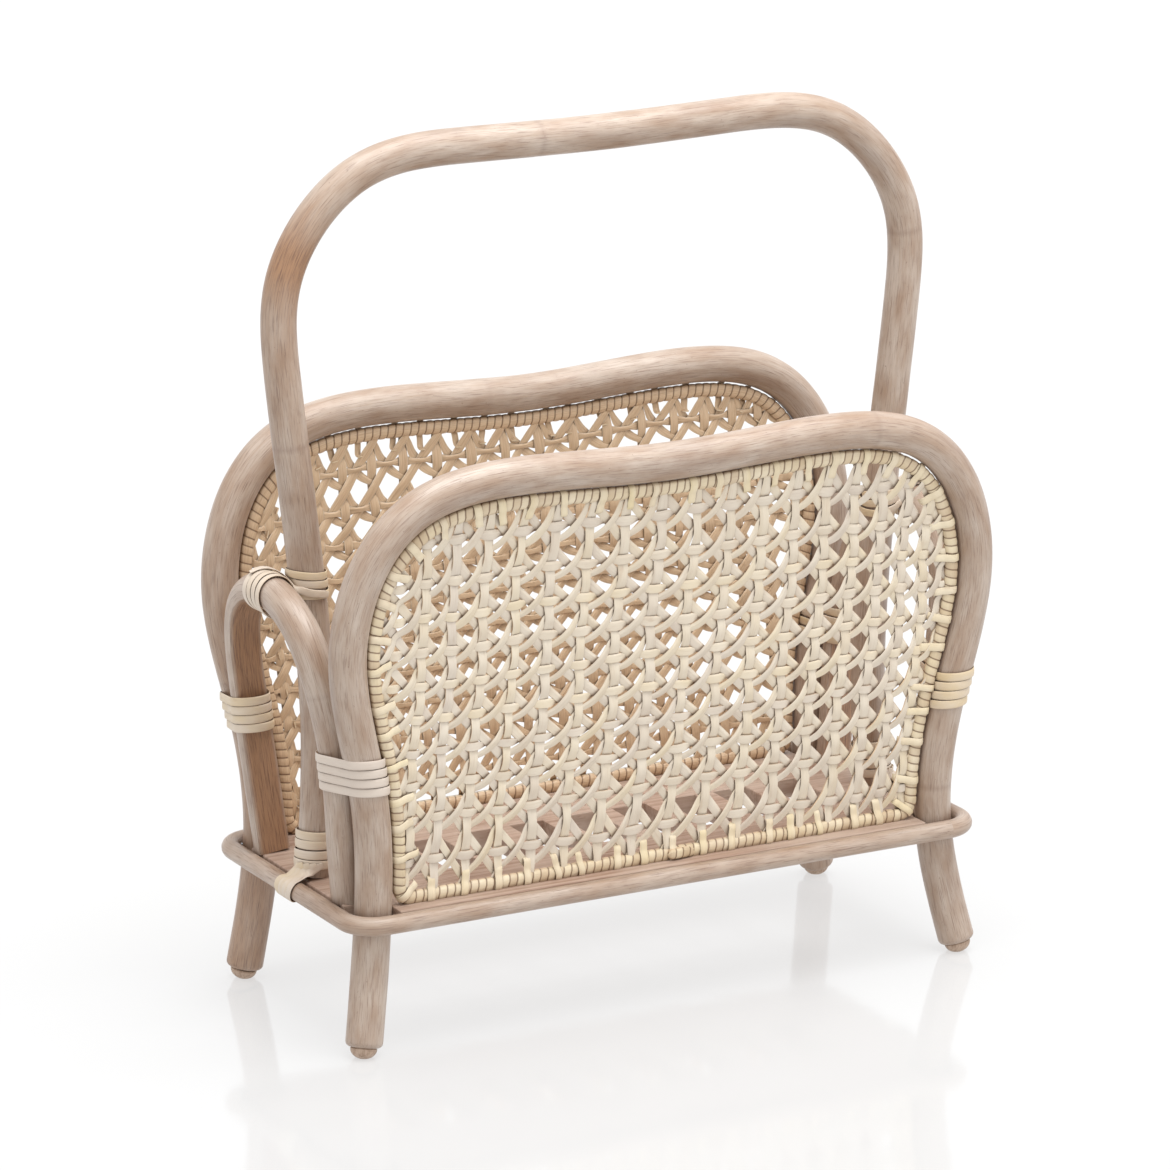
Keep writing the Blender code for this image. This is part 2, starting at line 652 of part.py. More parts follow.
def fasten_end(end, sign_x, arch_line, arch, handle, board):
    """Screws up through the board into the handle's foot and the arch's two legs."""
    head_z = BOARD_TOP - BOARD_T + GAP
    handle_x = sign_x * float(HANDLE_PATH[-1][0])
    up = Vector((0, 0, 1))
    drilled(end + "_handle_screw", Vector((handle_x, 0, head_z)), up, screw_profile(), GAP, board, handle)
    for side, foot in (("front", arch_line[0]), ("back", arch_line[-1])):
        start = Vector((float(foot[0]), float(foot[1]), head_z))
        drilled(side + "_" + end + "_arch_screw", start, up, screw_profile(), GAP, board, arch)


def nail_corner(name, sign_x, sign_y, rim, frame, board):
    """A buried nail through rim and leg into the corner of the board."""
    inward = Vector((-1, 1, 0)).normalized()
    leg = Vector((WAIST_X, -WAIST_Y, RIM_Z))
    start = leg - inward * (RIM_X - WAIST_X + RIM_R - NAIL_COVER)
    length = (leg - start).length + POLE_R + RIM_CLEAR + NAIL_BITE
    turn = Vector((sign_x, sign_y, 1))
    profile = pin_profile(NAIL_D, length)
    drilled(name + "_corner_nail", start * turn, inward * turn, profile, GAP, rim, frame, board)


def brad_panel(name, sign_x, sign_y, border, frame, board):
    """Brads that hold a panel's border to its frame and to the board."""
    turn = Vector((sign_x, sign_y, 1))
    frame_x, frame_y = at_height(FRAME_PATH, BRAD_Z)
    ring = POLE_R + panel_gap() + BORDER_R
    start = Vector((frame_x - ring - BORDER_R + BRAD_COVER, frame_y, BRAD_Z))
    length = ring + BORDER_R - BRAD_COVER - POLE_R + NAIL_BITE
    profile = pin_profile(BRAD_D, length)
    out = Vector((1, 0, 0)) * turn
    drilled(name + "_side_brad", start * turn, out, profile, GAP, border, frame)
    sill_z = SOLE_Z + GAP + BORDER_R
    top = sill_z + BORDER_R - BRAD_COVER
    start = Vector((BRAD_X, at_height(FRAME_PATH, sill_z)[1], top))
    profile = pin_profile(BRAD_D, top - BOARD_TOP + BOARD_T / 2)
    drilled(name + "_sill_brad", start * turn, Vector((0, 0, -1)), profile, GAP, border, board)


build_rack()
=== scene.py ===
"""Looks of a lashed rattan magazine rack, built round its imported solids.

Metres, +Z up, the front panel faces -Y. Poles, cane strands and lashings are all drawn as bars
along a line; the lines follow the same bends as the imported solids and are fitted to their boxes.
"""

import logging
import math
from dataclasses import dataclass, field
from enum import Enum
from typing import Any, Callable, Optional, Sequence, Union

import bmesh
import bpy
import numpy as np
from mathutils import Matrix, Vector


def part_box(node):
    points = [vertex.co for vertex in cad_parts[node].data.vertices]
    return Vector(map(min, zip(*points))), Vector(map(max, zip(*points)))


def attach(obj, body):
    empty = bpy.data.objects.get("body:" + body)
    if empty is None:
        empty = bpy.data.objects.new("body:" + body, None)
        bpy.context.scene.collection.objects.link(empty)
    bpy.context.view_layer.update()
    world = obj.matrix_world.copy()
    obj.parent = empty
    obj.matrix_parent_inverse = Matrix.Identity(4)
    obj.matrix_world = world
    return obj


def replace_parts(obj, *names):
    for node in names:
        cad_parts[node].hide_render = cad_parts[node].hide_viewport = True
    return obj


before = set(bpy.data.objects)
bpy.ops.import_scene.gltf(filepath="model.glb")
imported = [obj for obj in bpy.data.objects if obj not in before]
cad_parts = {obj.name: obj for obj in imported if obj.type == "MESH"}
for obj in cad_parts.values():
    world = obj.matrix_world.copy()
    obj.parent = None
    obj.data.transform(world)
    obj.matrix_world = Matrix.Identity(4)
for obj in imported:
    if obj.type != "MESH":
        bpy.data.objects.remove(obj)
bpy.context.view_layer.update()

log = logging.getLogger("rack")

Values = Union[float, np.ndarray]
Socket = Union[int, str]


class Side(Enum):
    """The two bent frames."""

    FRONT = 1
    BACK = -1


class End(Enum):
    """The two ends of the rack, by their sign along X."""

    LEFT = -1
    RIGHT = 1


class Slot(Enum):
    """The record's material slots."""

    POLE = "washed_rattan"
    WEB = "cane_web"
    BORDER = "cane_border"
    LASHING = "cane_lashing"
    BOARD = "stained_board"
    PLUG = "turned_wood"
    STEEL = "fasteners"


# ---------------------------------------------------------------- colour and nodes
def linear(code: str) -> tuple[float, float, float, float]:
    """Turns an sRGB hex colour into linear RGBA.

    Args:
        code: six hex digits after a hash sign.
    Returns:
        The colour for a shader socket.
    """
    parts = [int(code[i:i + 2], 16) / 255 for i in (1, 3, 5)]
    return (*[c / 12.92 if c <= 0.04045 else ((c + 0.055) / 1.055) ** 2.4 for c in parts], 1.0)


def add(
    tree: bpy.types.NodeTree,
    kind: str,
    settings: Optional[dict[str, Any]] = None,
    sockets: Optional[dict[Socket, Any]] = None,
) -> bpy.types.Node:
    """Adds a node with its settings and links.

    Args:
        tree: the material's node tree.
        kind: the node's type.
        settings: its properties by name.
        sockets: a value, or the output that feeds it, for each named or numbered input.
    Returns:
        The new node.
    """
    made = tree.nodes.new(kind)
    for name, value in (settings or {}).items():
        setattr(made, name, value)
    for key, value in (sockets or {}).items():
        if isinstance(value, bpy.types.NodeSocket):
            tree.links.new(value, made.inputs[key])
        else:
            made.inputs[key].default_value = value
    return made


def new_tree(name: str) -> tuple[bpy.types.Material, bpy.types.NodeTree]:
    """Makes an empty node material.

    Args:
        name: the finish's name.
    Returns:
        The material and its tree.
    """
    made = bpy.data.materials.new(name)
    made.use_nodes = True
    made.node_tree.nodes.clear()
    return made, made.node_tree


def blend(tree: bpy.types.NodeTree, share: Any, first: Any, second: Any) -> Any:
    """Mixes two colours.

    Args:
        tree: the node tree.
        share: how much of the second, a number or an output.
        first: a colour or an output.
        second: a colour or an output.
    Returns:
        The mixed colour's output.
    """
    mix = add(tree, "ShaderNodeMix", {"data_type": "RGBA"}, {0: share, 6: first, 7: second})
    return mix.outputs[2]


def spread(tree: bpy.types.NodeTree, value: Any, low: float, high: float,
           to_low: float = 0.0, to_high: float = 1.0) -> Any:
    """Maps a range of a value onto another, held at its ends.

    Args:
        tree: the node tree.
        value: the output to map.
        low: value that gives to_low.
        high: value that gives to_high.
        to_low: result at low.
        to_high: result at high.
    Returns:
        The result's output.
    """
    made = add(tree, "ShaderNodeMapRange", {"clamp": True},
               {0: value, 1: low, 2: high, 3: to_low, 4: to_high})
    return made.outputs[0]


def noise(tree: bpy.types.NodeTree, place: Any, size: Sequence[float], detail: float = 3.0,
          rough: float = 0.55, shift: float = 0.0, warp: float = 0.0) -> Any:
    """A noise with features of a real size along each axis.

    Args:
        tree: the node tree.
        place: output that gives a point in metres.
        size: feature size along the point's three axes, in metres.
        detail: octaves.
        rough: share of the fine octaves.
        shift: moves the pattern, to make another from the same points.
        warp: distortion.
    Returns:
        The noise's output, from 0 to 1.
    """
    scaled = add(tree, "ShaderNodeMapping", None, {
        "Vector": place, "Location": (shift, shift, shift),
        "Scale": tuple(1 / s for s in size)})
    made = add(tree, "ShaderNodeTexNoise", None, {
        "Vector": scaled.outputs[0], "Scale": 1.0, "Detail": detail, "Roughness": rough,
        "Distortion": warp})
    return made.outputs[0]


def attribute(tree: bpy.types.NodeTree, name: str, output: str = "Fac") -> Any:
    """One of the piece's own attributes, as an output."""
    return add(tree, "ShaderNodeAttribute", {"attribute_name": name}).outputs[output]


def bumped(tree: bpy.types.NodeTree, strength: float, distance: float, height: Any) -> Any:
    """A fine relief.

    Args:
        tree: the node tree.
        strength: how much of it shows.
        distance: its height, in metres.
        height: the output that gives it, from 0 to 1.
    Returns:
        The bent normal's output.
    """
    made = add(tree, "ShaderNodeBump", None, {
        "Strength": strength, "Distance": distance, "Height": height})
    return made.outputs[0]


def layer(tree: bpy.types.NodeTree, colour: Any, mask: Any, low: float, high: float,
          most: float, over: str) -> Any:
    """Lays another colour over one, where a mask is high.

    Args:
        tree: the node tree.
        colour: the colour below.
        mask: the mask's output.
        low: mask value where it starts.
        high: mask value where it is full.
        most: its largest share.
        over: the colour laid over.
    Returns:
        The colour's output.
    """
    return blend(tree, spread(tree, mask, low, high, 0.0, most), colour, linear(over))


def surface(tree: bpy.types.NodeTree, sockets: dict[Socket, Any]) -> None:
    """Ends a material with its surface.

    Args:
        tree: the node tree.
        sockets: the surface's colour, roughness and so on, by input name.
    """
    shader = add(tree, "ShaderNodeBsdfPrincipled", None, sockets)
    add(tree, "ShaderNodeOutputMaterial", None, {0: shader.outputs[0]})


def painted_crease_shade(tree: bpy.types.NodeTree, colour: Any, stain: str, reach: float, most: float) -> Any:
    """Paints shade into the creases, darker wherever another surface is near.

    Args:
        tree: the node tree.
        colour: the unshaded colour's output.
        stain: the colour of the painted shade.
        reach: how near another surface must be, in metres.
        most: the largest share of the painted shade.
    Returns:
        The colour's output.
    """
    open_sky = add(tree, "ShaderNodeAmbientOcclusion", {"samples": 6}, {"Distance": reach})
    shade_share = spread(tree, open_sky.outputs["AO"], 0.15, 0.80, most, 0.0)
    return blend(tree, shade_share, colour, linear(stain))


@dataclass(frozen=True)
class WashedRattan:
    """Peeled rattan pole, sanded, limed white and waxed: brown fibres show through a pale film."""

    film: str = "#BDAD9F"        # lime left on the surface
    wood: str = "#A38A76"        # washed wood below it
    fibre_and_shade: str = "#67493A"       # vessels that the lime did not fill; also the colour of the painted shade in the creases
    bare: str = "#A27B5B"        # shaved or scorched wood
    fibre_width: float = 0.0005
    fibre_run: float = 0.013
    cloud: float = 0.028         # patches of thicker lime
    roughness: float = 0.44
    ior: float = 1.5
    coat: float = 0.35           # wax

    def material(self) -> bpy.types.Material:
        """The pole finish, on the grain attribute."""
        made, tree = new_tree("limed_rattan_pole")
        grain = attribute(tree, "grain", "Vector")
        bare = attribute(tree, "bare")
        knuckle = attribute(tree, "knuckle")
        thin, run = self.fibre_width, self.fibre_run
        fibres = noise(tree, grain, (thin, thin, run), 4.0, 0.62)
        streaks = noise(tree, grain, (2.8 * thin, 2.8 * thin, 2.4 * run), 3.0, 0.6, 7.3)
        cloud = noise(tree, grain, (self.cloud / 3, self.cloud / 3, self.cloud), 3.0, 0.5, 3.1)
        broad = noise(tree, grain, (0.02, 0.02, 0.09), 2.0, 0.5, 11.7)
        limed = spread(tree, cloud, 0.32, 0.68)
        colour = blend(tree, limed, linear(self.wood), linear(self.film))
        colour = layer(tree, colour, streaks, 0.50, 0.74, 0.60, self.wood)
        colour = layer(tree, colour, fibres, 0.52, 0.72, 0.72, self.fibre_and_shade)
        colour = layer(tree, colour, broad, 0.55, 0.75, 0.30, self.fibre_and_shade)
        browned = blend(tree, spread(tree, fibres, 0.45, 0.70), linear(self.bare), linear(self.fibre_and_shade))
        colour = blend(tree, bare, colour, browned)
        colour = layer(tree, colour, knuckle, 0.0, 1.0, 0.22, self.fibre_and_shade)
        speck = noise(tree, grain, (0.0012, 0.0012, 0.0022), 2.0, 0.5, 23.0)
        colour = layer(tree, colour, speck, 0.70, 0.76, 0.45, self.fibre_and_shade)
        # painted shade: fibre brown wherever another surface is near
        colour = painted_crease_shade(tree, colour, self.fibre_and_shade, 0.006, 0.55)
        height = blend(tree, 0.35, fibres, streaks)
        bump = bumped(tree, 0.45, 0.0005, height)
        dull = spread(tree, fibres, 0.3, 0.8, self.roughness - 0.08, self.roughness + 0.16)
        surface(tree, {
            "Base Color": colour, "Roughness": dull, "IOR": self.ior,
            "Coat Weight": self.coat, "Coat Roughness": 0.28, "Normal": bump})
        return made


@dataclass(frozen=True)
class CanePeel:
    """Split cane peel: a glossy outer skin on one side, matt tan pith on the other."""

    name: str = "cane_peel"
    skin: str = "#E2D7C5"
    warm: str = "#DDCDB0"        # strands that kept more yellow
    grey: str = "#D2C5B6"
    pith: str = "#D9BF9F"
    stain: str = "#A98563"
    fibre_width: float = 0.00045
    fibre_run: float = 0.012
    roughness: float = 0.42
    ior: float = 1.48
    turn_tint: float = 0.0       # colour change from one wrap to the next
    crease: str = "#6B4C35"      # painted shade between the strands and between the wraps
    crease_reach: float = 0.0035
    crease_share: float = 0.80

    def material(self) -> bpy.types.Material:
        """The cane finish, on the grain, tint and, for wraps, turn attributes."""
        made, tree = new_tree(self.name)
        grain = attribute(tree, "grain", "Vector")
        tint = attribute(tree, "tint")
        across = add(tree, "ShaderNodeSeparateXYZ", None, {0: grain})
        thin, run = self.fibre_width, self.fibre_run
        fibres = noise(tree, grain, (thin, thin, run), 3.0, 0.6)
        patch = noise(tree, grain, (0.012, 0.012, 0.030), 3.0, 0.5, 5.9)
        blotch = noise(tree, grain, (0.006, 0.006, 0.016), 3.0, 0.55, 17.0)
        colour = blend(tree, spread(tree, tint, 0.0, 1.0), linear(self.grey), linear(self.warm))
        colour = layer(tree, colour, patch, 0.36, 0.66, 0.75, self.skin)
        if self.turn_tint:
            turn = attribute(tree, "turn")
            whole = add(tree, "ShaderNodeMath", {"operation": "FLOOR"}, {0: turn})
            dice = add(tree, "ShaderNodeTexWhiteNoise", {"noise_dimensions": "1D"},
                       {"W": whole.outputs[0]})
            shade = spread(tree, dice.outputs["Value"], 0.0, 1.0, 0.0, self.turn_tint)
            colour = blend(tree, shade, colour, linear(self.stain))
        stained = spread(tree, fibres, 0.40, 0.75, 0.0, 0.5)
        pithy = blend(tree, stained, linear(self.pith), linear(self.stain))
        reverse = spread(tree, across.outputs[1], -0.0002, 0.00005, 1.0, 0.0)
        colour = blend(tree, reverse, colour, pithy)
        colour = layer(tree, colour, blotch, 0.62, 0.78, 0.34, self.stain)
        colour = layer(tree, colour, fibres, 0.55, 0.80, 0.30, self.stain)
        if self.turn_tint:
            # painted shade in the grooves between one wrap and the next
            edge = add(tree, "ShaderNodeMath", {"operation": "PINGPONG"}, {0: turn, 1: 0.5}).outputs[0]
            colour = blend(tree, spread(tree, edge, 0.03, 0.13, 0.85, 0.0), colour, linear(self.crease))
        # painted shade in the creases, wherever another surface is near
        colour = painted_crease_shade(tree, colour, self.crease, self.crease_reach, self.crease_share)
        bump = bumped(tree, 0.25, 0.00025, fibres)
        dull = spread(tree, fibres, 0.3, 0.8, self.roughness - 0.06, self.roughness + 0.14)
        surface(tree, {
            "Base Color": colour, "Roughness": dull, "IOR": self.ior, "Normal": bump})
        return made


@dataclass(frozen=True)
class StainedBoard:
    """Planed board, stained pinkish brown and wiped with lime: straight grain along the rack."""

    stain: str = "#B59B8A"
    dark: str = "#8E6E5B"
    lime: str = "#C9B8A9"
    grain_width: float = 0.0022
    grain_run: float = 0.09
    roughness: float = 0.55

    def material(self) -> bpy.types.Material:
        """The board finish, on Object coordinates."""
        made, tree = new_tree("limed_stained_board")
        place = add(tree, "ShaderNodeTexCoord").outputs["Object"]
        lines = noise(tree, place, (self.grain_run, self.grain_width, 0.004), 4.0, 0.6, 0.0, 0.3)
        pores = noise(tree, place, (0.012, 0.0006, 0.0015), 3.0, 0.6, 4.0)
        cloud = noise(tree, place, (0.06, 0.03, 0.03), 2.0, 0.5, 9.0)
        colour = blend(tree, spread(tree, lines, 0.38, 0.66), linear(self.stain), linear(self.dark))
        colour = layer(tree, colour, cloud, 0.35, 0.70, 0.55, self.lime)
        colour = layer(tree, colour, pores, 0.58, 0.72, 0.5, self.dark)
        bump = bumped(tree, 0.3, 0.0004, pores)
        surface(tree, {
            "Base Color": colour, "Roughness": self.roughness, "IOR": 1.5, "Normal": bump})
        return made


@dataclass(frozen=True)
class TurnedWood:
    """Turned hardwood foot plug, sealed: fine rings with a slight sheen."""

    wood: str = "#B8A08C"
    line: str = "#957A66"
    roughness: float = 0.45

    def material(self) -> bpy.types.Material:
        """The plug finish, on Object coordinates."""
        made, tree = new_tree("turned_hardwood")
        place = add(tree, "ShaderNodeTexCoord").outputs["Object"]
        lines = noise(tree, place, (0.0012, 0.0012, 0.006), 3.0, 0.6)
        colour = blend(tree, spread(tree, lines, 0.42, 0.68), linear(self.wood), linear(self.line))
        bump = bumped(tree, 0.2, 0.0003, lines)
        surface(tree, {
            "Base Color": colour, "Roughness": self.roughness, "IOR": 1.5, "Normal": bump})
        return made


@dataclass(frozen=True)
class ZincSteel:
    """Zinc-plated steel screw or nail, drawn and passivated: bright with a faint mottle."""

    zinc: str = "#C3C5C8"
    dull: str = "#8D9094"
    roughness: float = 0.32

    def material(self) -> bpy.types.Material:
        """The fastener finish, on Object coordinates."""
        made, tree = new_tree("zinc_plated_steel")
        place = add(tree, "ShaderNodeTexCoord").outputs["Object"]
        mottle = noise(tree, place, (0.0009, 0.0009, 0.0009), 3.0, 0.6)
        colour = blend(tree, spread(tree, mottle, 0.35, 0.70), linear(self.zinc), linear(self.dull))
        worn = spread(tree, mottle, 0.3, 0.7, self.roughness - 0.06, self.roughness + 0.12)
        surface(tree, {
            "Base Color": colour, "Roughness": worn, "Metallic": 1.0})
        return made


# ---------------------------------------------------------------- lines
def settle(points: Sequence[Sequence[float]], count: int) -> np.ndarray:
    """A natural cubic spline through the points, in even steps, as a bent pole settles.

    Args:
        points: the points that the line passes.
        count: how many stations it gets.
    Returns:
        The stations, count by 3.
    """
    knots = np.array(points, float)
    spans = np.linalg.norm(np.diff(knots, axis=0), axis=1) ** 0.75
    times = np.concatenate([[0.0], np.cumsum(spans)])
    matrix, right = np.eye(len(knots)), np.zeros_like(knots)
    for i in range(1, len(knots) - 1):
        matrix[i, i - 1:i + 2] = spans[i - 1], 2 * (spans[i - 1] + spans[i]), spans[i]
        right[i] = 6 * ((knots[i + 1] - knots[i]) / spans[i] - (knots[i] - knots[i - 1]) / spans[i - 1])
    bends = np.linalg.solve(matrix, right)
    fine = np.linspace(0.0, times[-1], 8 * count)
    span = np.clip(np.searchsorted(times, fine, side="right") - 1, 0, len(spans) - 1)
    width = spans[span][:, None]
    after = (fine - times[span])[:, None] / width
    before = 1 - after
    curve = before * knots[span] + after * knots[span + 1]
    pull = (before ** 3 - before) * bends[span] + (after ** 3 - after) * bends[span + 1]
    curve += pull * width ** 2 / 6
    return along(curve, np.linspace(0.0, 1.0, count))


def run_of(line: np.ndarray) -> np.ndarray:
    """The length run from the line's start to each station."""
    return np.concatenate([[0.0], np.cumsum(np.linalg.norm(np.diff(line, axis=0), axis=1))])


def along(line: np.ndarray, shares: np.ndarray) -> np.ndarray:
    """Stations at given shares of a line's length.

    Args:
        line: the line's stations.
        shares: shares from 0 to 1.
    Returns:
        A station for each share.
    """
    run = run_of(line)
    steps = shares * run[-1]
    return np.stack([np.interp(steps, run, line[:, axis]) for axis in range(line.shape[1])], axis=1)


def unit(vectors: np.ndarray) -> np.ndarray:
    """The vectors in the last axis, each made one long."""
    return vectors / np.linalg.norm(vectors, axis=-1)[..., None]


def at_height(line: np.ndarray, height: Values) -> np.ndarray:
    """Where the right half of a mirrored line passes a height.

    Args:
        line: a line from a left foot over the top to a right foot.
        height: one or more heights.
    Returns:
        x and y, in the last axis.
    """
    half = line[len(line) // 2:][::-1]
    return np.stack([np.interp(height, half[:, 2], half[:, axis]) for axis in (0, 1)], axis=-1)


def wander(rng: np.random.Generator, place: np.ndarray, size: float, swing: float) -> np.ndarray:
    """A smooth random value along a length.

    Args:
        rng: the seeded source.
        place: lengths at which it is wanted.
        size: length of one swing.
        swing: its largest value.
    Returns:
        A value for each length.
    """
    total = np.zeros_like(place)
    for share, factor in ((0.55, 1.0), (0.30, 1.9), (0.15, 3.7)):
        total += share * np.sin(2 * math.pi * factor * place / size + rng.uniform(0, 2 * math.pi))
    return swing * total


# ---------------------------------------------------------------- bars
@dataclass
class Bar:
    """A pole, strand or strap along a line, with a round or flattened section."""

    line: np.ndarray
    half_width: Values
    half_thick: Optional[Values] = None      # same as half_width on a round bar
    faces: Optional[np.ndarray] = None       # outward direction at each station
    sides: int = 12
    flatness: float = 2.0                    # 2 is an ellipse, more is squarer
    closed: bool = False
    tint: float = 0.5
    offset: float = 0.0                      # where in the grain pattern it starts
    bare: Optional[Values] = None
    knuckle: Optional[Values] = None
    turn_pitch: float = 0.0                  # length of one wrap, where it is wound
    relief: Optional[Callable[[np.ndarray, np.ndarray], np.ndarray]] = None

    def rings(self) -> tuple[np.ndarray, np.ndarray, np.ndarray, np.ndarray]:
        """Where every point of the surface goes.

        Returns:
            Places (rings, sides, 3), grain (rings, sides + 1, 3), turns (rings, sides + 1) and the run.
        """
        line = np.vstack([self.line, self.line[:1]]) if self.closed else np.asarray(self.line, float)
        before, after = np.roll(line, 1, axis=0), np.roll(line, -1, axis=0)
        if self.closed:
            before[0], after[-1] = line[-2], line[1]
        else:
            before[0], after[-1] = line[0], line[-1]
        tangents = unit(after - before)
        if self.faces is None:
            rises = self.carried(tangents)
        else:
            faces = np.vstack([self.faces, self.faces[:1]]) if self.closed else self.faces
            rises = unit(faces - tangents * np.sum(faces * tangents, axis=1)[:, None])
        across = np.cross(rises, tangents)
        run = run_of(line)
        theta = np.linspace(0.0, 2 * math.pi, self.sides + 1)
        power = 2 / self.flatness
        flat_x = np.sign(np.cos(theta)) * np.abs(np.cos(theta)) ** power
        flat_y = np.sign(np.sin(theta)) * np.abs(np.sin(theta)) ** power
        half_thick = self.half_width if self.half_thick is None else self.half_thick
        wide = self.full(self.half_width, len(line))[:, None] * flat_x
        thick = self.full(half_thick, len(line))[:, None] * flat_y
        if self.relief is not None:
            scale = self.relief(theta[None, :], run[:, None])
            wide, thick = wide * scale, thick * scale
        places = line[:, None] + wide[..., None] * across[:, None] + thick[..., None] * rises[:, None]
        grain = np.stack([wide, thick, np.broadcast_to(run[:, None] + self.offset, wide.shape)], axis=-1)
        turns = np.zeros_like(wide)
        if self.turn_pitch:
            turns = run[:, None] / self.turn_pitch + theta[None, :] / (2 * math.pi) + 0 * wide
        return places[:, :-1], grain, turns, run

    def full(self, value: Values, count: int) -> np.ndarray:
        """A value for every station, whether one or many were given.

        Args:
            value: a number, or one for each station of the line.
            count: how many stations there are.
        Returns:
            The values.
        """
        value = np.asarray(value, float)
        if value.ndim and len(value) == count - 1:
            value = np.append(value, value[0])
        return np.broadcast_to(value, count)

    @staticmethod
    def carried(tangents: np.ndarray) -> np.ndarray:
        """An outward direction carried along the line without twisting.

        Args:
            tangents: the line's direction at each station.
        Returns:
            A direction square to it at each station.
        """
        rise = np.cross(tangents[0], np.eye(3)[np.argmin(np.abs(tangents[0]))])
        found = []
        for tangent in tangents:
            rise = unit(rise - tangent * (rise @ tangent))
            found.append(rise)
        return np.array(found)


class Bundle:
    """Bars that make up one piece."""

    SPACING = 4.0                            # between the blank bars, before they are drawn out

    def __init__(self, name: str) -> None:
        """Starts an empty bundle with the piece's name."""
        self.name = name
        self.bars: list[Bar] = []

    def add(self, bar: Bar) -> None:
        """Puts one more bar in."""
        self.bars.append(bar)

    def blanks(self) -> bpy.types.Mesh:
        """Straight round bars with the right number of rings, side by side.

        Returns:
            The mesh to draw out.
        """
        build = bmesh.new()
        for index, bar in enumerate(self.bars):
            place = Matrix.Translation((self.SPACING * index, 0.0, 0.0))
            made = bmesh.ops.create_cone(
                build, cap_ends=not bar.closed, cap_tris=False, segments=bar.sides,
                radius1=1.0, radius2=1.0, depth=1.0, matrix=place)
            edges = {edge for vert in made["verts"] for edge in vert.link_edges}
            upright = [edge for edge in edges if abs(edge.verts[0].co.z - edge.verts[1].co.z) > 0.5]
            rings = len(bar.line) + (1 if bar.closed else 0)
            bmesh.ops.subdivide_edges(build, edges=upright, cuts=rings - 2)
        return closed_up(build, self.name)

    def make(self, finish: bpy.types.Material, crease: float = 40.0) -> bpy.types.Object:
        """Draws the bars along their lines and makes them one piece.

        Args:
            finish: the piece's material.
            crease: faces that meet at more than this angle keep a sharp edge, in degrees.
        Returns:
            The piece, riding on the rack.
        """
        mesh = self.blanks()
        count = len(mesh.vertices)
        flat = np.zeros(count * 3)
        mesh.vertices.foreach_get("co", flat)
        blank = flat.reshape(-1, 3)
        which = np.rint(blank[:, 0] / self.SPACING).astype(int)
        local = blank[:, 0] - which * self.SPACING
        sides = np.array([bar.sides for bar in self.bars])[which]
        rings = np.array([len(bar.line) + (1 if bar.closed else 0) for bar in self.bars])[which]
        ring = np.rint((blank[:, 2] + 0.5) * (rings - 1)).astype(int)
        turn = np.arctan2(blank[:, 1], local) / (2 * math.pi)
        side = np.rint(turn * sides).astype(int) % sides
        places = np.zeros((count, 3))
        values = {name: np.zeros(count) for name in ("tint", "bare", "knuckle")}

        corners = np.zeros(len(mesh.loops), np.int32)
        mesh.loops.foreach_get("vertex_index", corners)
        starts = np.zeros(len(mesh.polygons), np.int32)
        totals = np.zeros(len(mesh.polygons), np.int32)
        mesh.polygons.foreach_get("loop_start", starts)
        mesh.polygons.foreach_get("loop_total", totals)
        corner_side = side[corners]
        highest = np.maximum.reduceat(corner_side, starts)
        lowest = np.minimum.reduceat(corner_side, starts)
        wraps = np.repeat((highest - lowest > sides[corners[starts]] / 2) & (totals == 4), totals)
        corner_side = np.where(wraps & (corner_side < sides[corners] / 2), sides[corners], corner_side)
        grain = np.zeros((len(corners), 3))
        turns = np.zeros(len(corners))

        for index, bar in enumerate(self.bars):
            drawn, bar_grain, bar_turns, run = bar.rings()
            mine = which == index
            places[mine] = drawn[ring[mine], side[mine]]
            values["tint"][mine] = bar.tint
            for name, given in (("bare", bar.bare), ("knuckle", bar.knuckle)):
                if given is None:
                    continue
                given = np.asarray(given, float)
                if given.ndim == 2:
                    values[name][mine] = given[ring[mine], side[mine]]
                else:
                    values[name][mine] = bar.full(given, len(run))[ring[mine]]
            own = mine[corners]
            grain[own] = bar_grain[ring[corners[own]], corner_side[own]]
            turns[own] = bar_turns[ring[corners[own]], corner_side[own]]

        mesh.vertices.foreach_set("co", places.ravel())
        for name, value in values.items():
            mesh.attributes.new(name, "FLOAT", "POINT").data.foreach_set("value", value)
        mesh.attributes.new("grain", "FLOAT_VECTOR", "CORNER").data.foreach_set("vector", grain.ravel())
        mesh.attributes.new("turn", "FLOAT", "CORNER").data.foreach_set("value", turns)
        if any(bar.closed for bar in self.bars):
            build = bmesh.new()
            build.from_mesh(mesh)
            bmesh.ops.remove_doubles(build, verts=build.verts, dist=1e-6)
            build.to_mesh(mesh)
            build.free()
        return finished(self.name, mesh, finish, crease)


def closed_up(build: bmesh.types.BMesh, name: str) -> bpy.types.Mesh:
    """Turns the built faces into a mesh and frees them.

    Args:
        build: the faces.
        name: the mesh's name.
    Returns:
        The mesh.
    """
    mesh = bpy.data.meshes.new(name)
    build.to_mesh(mesh)
    build.free()
    return mesh


def finished(name: str, mesh: bpy.types.Mesh, finish: bpy.types.Material,
             crease: float = 40.0) -> bpy.types.Object:
    """Makes a mesh a dressed piece that rides on the rack.

    Args:
        name: the piece's name.
        mesh: its mesh, in place.
        finish: its material.
        crease: faces that meet at more than this angle keep a sharp edge, in degrees.
    Returns:
        The piece.
    """
    mesh.materials.clear()
    mesh.materials.append(finish)
    mesh.shade_smooth()
    mesh.set_sharp_from_angle(angle=math.radians(crease))
    piece = bpy.data.objects.new(name, mesh)
    bpy.context.scene.collection.objects.link(piece)
    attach(piece, "root")
    log.info("%s: %d faces", name, len(mesh.polygons))
    return piece


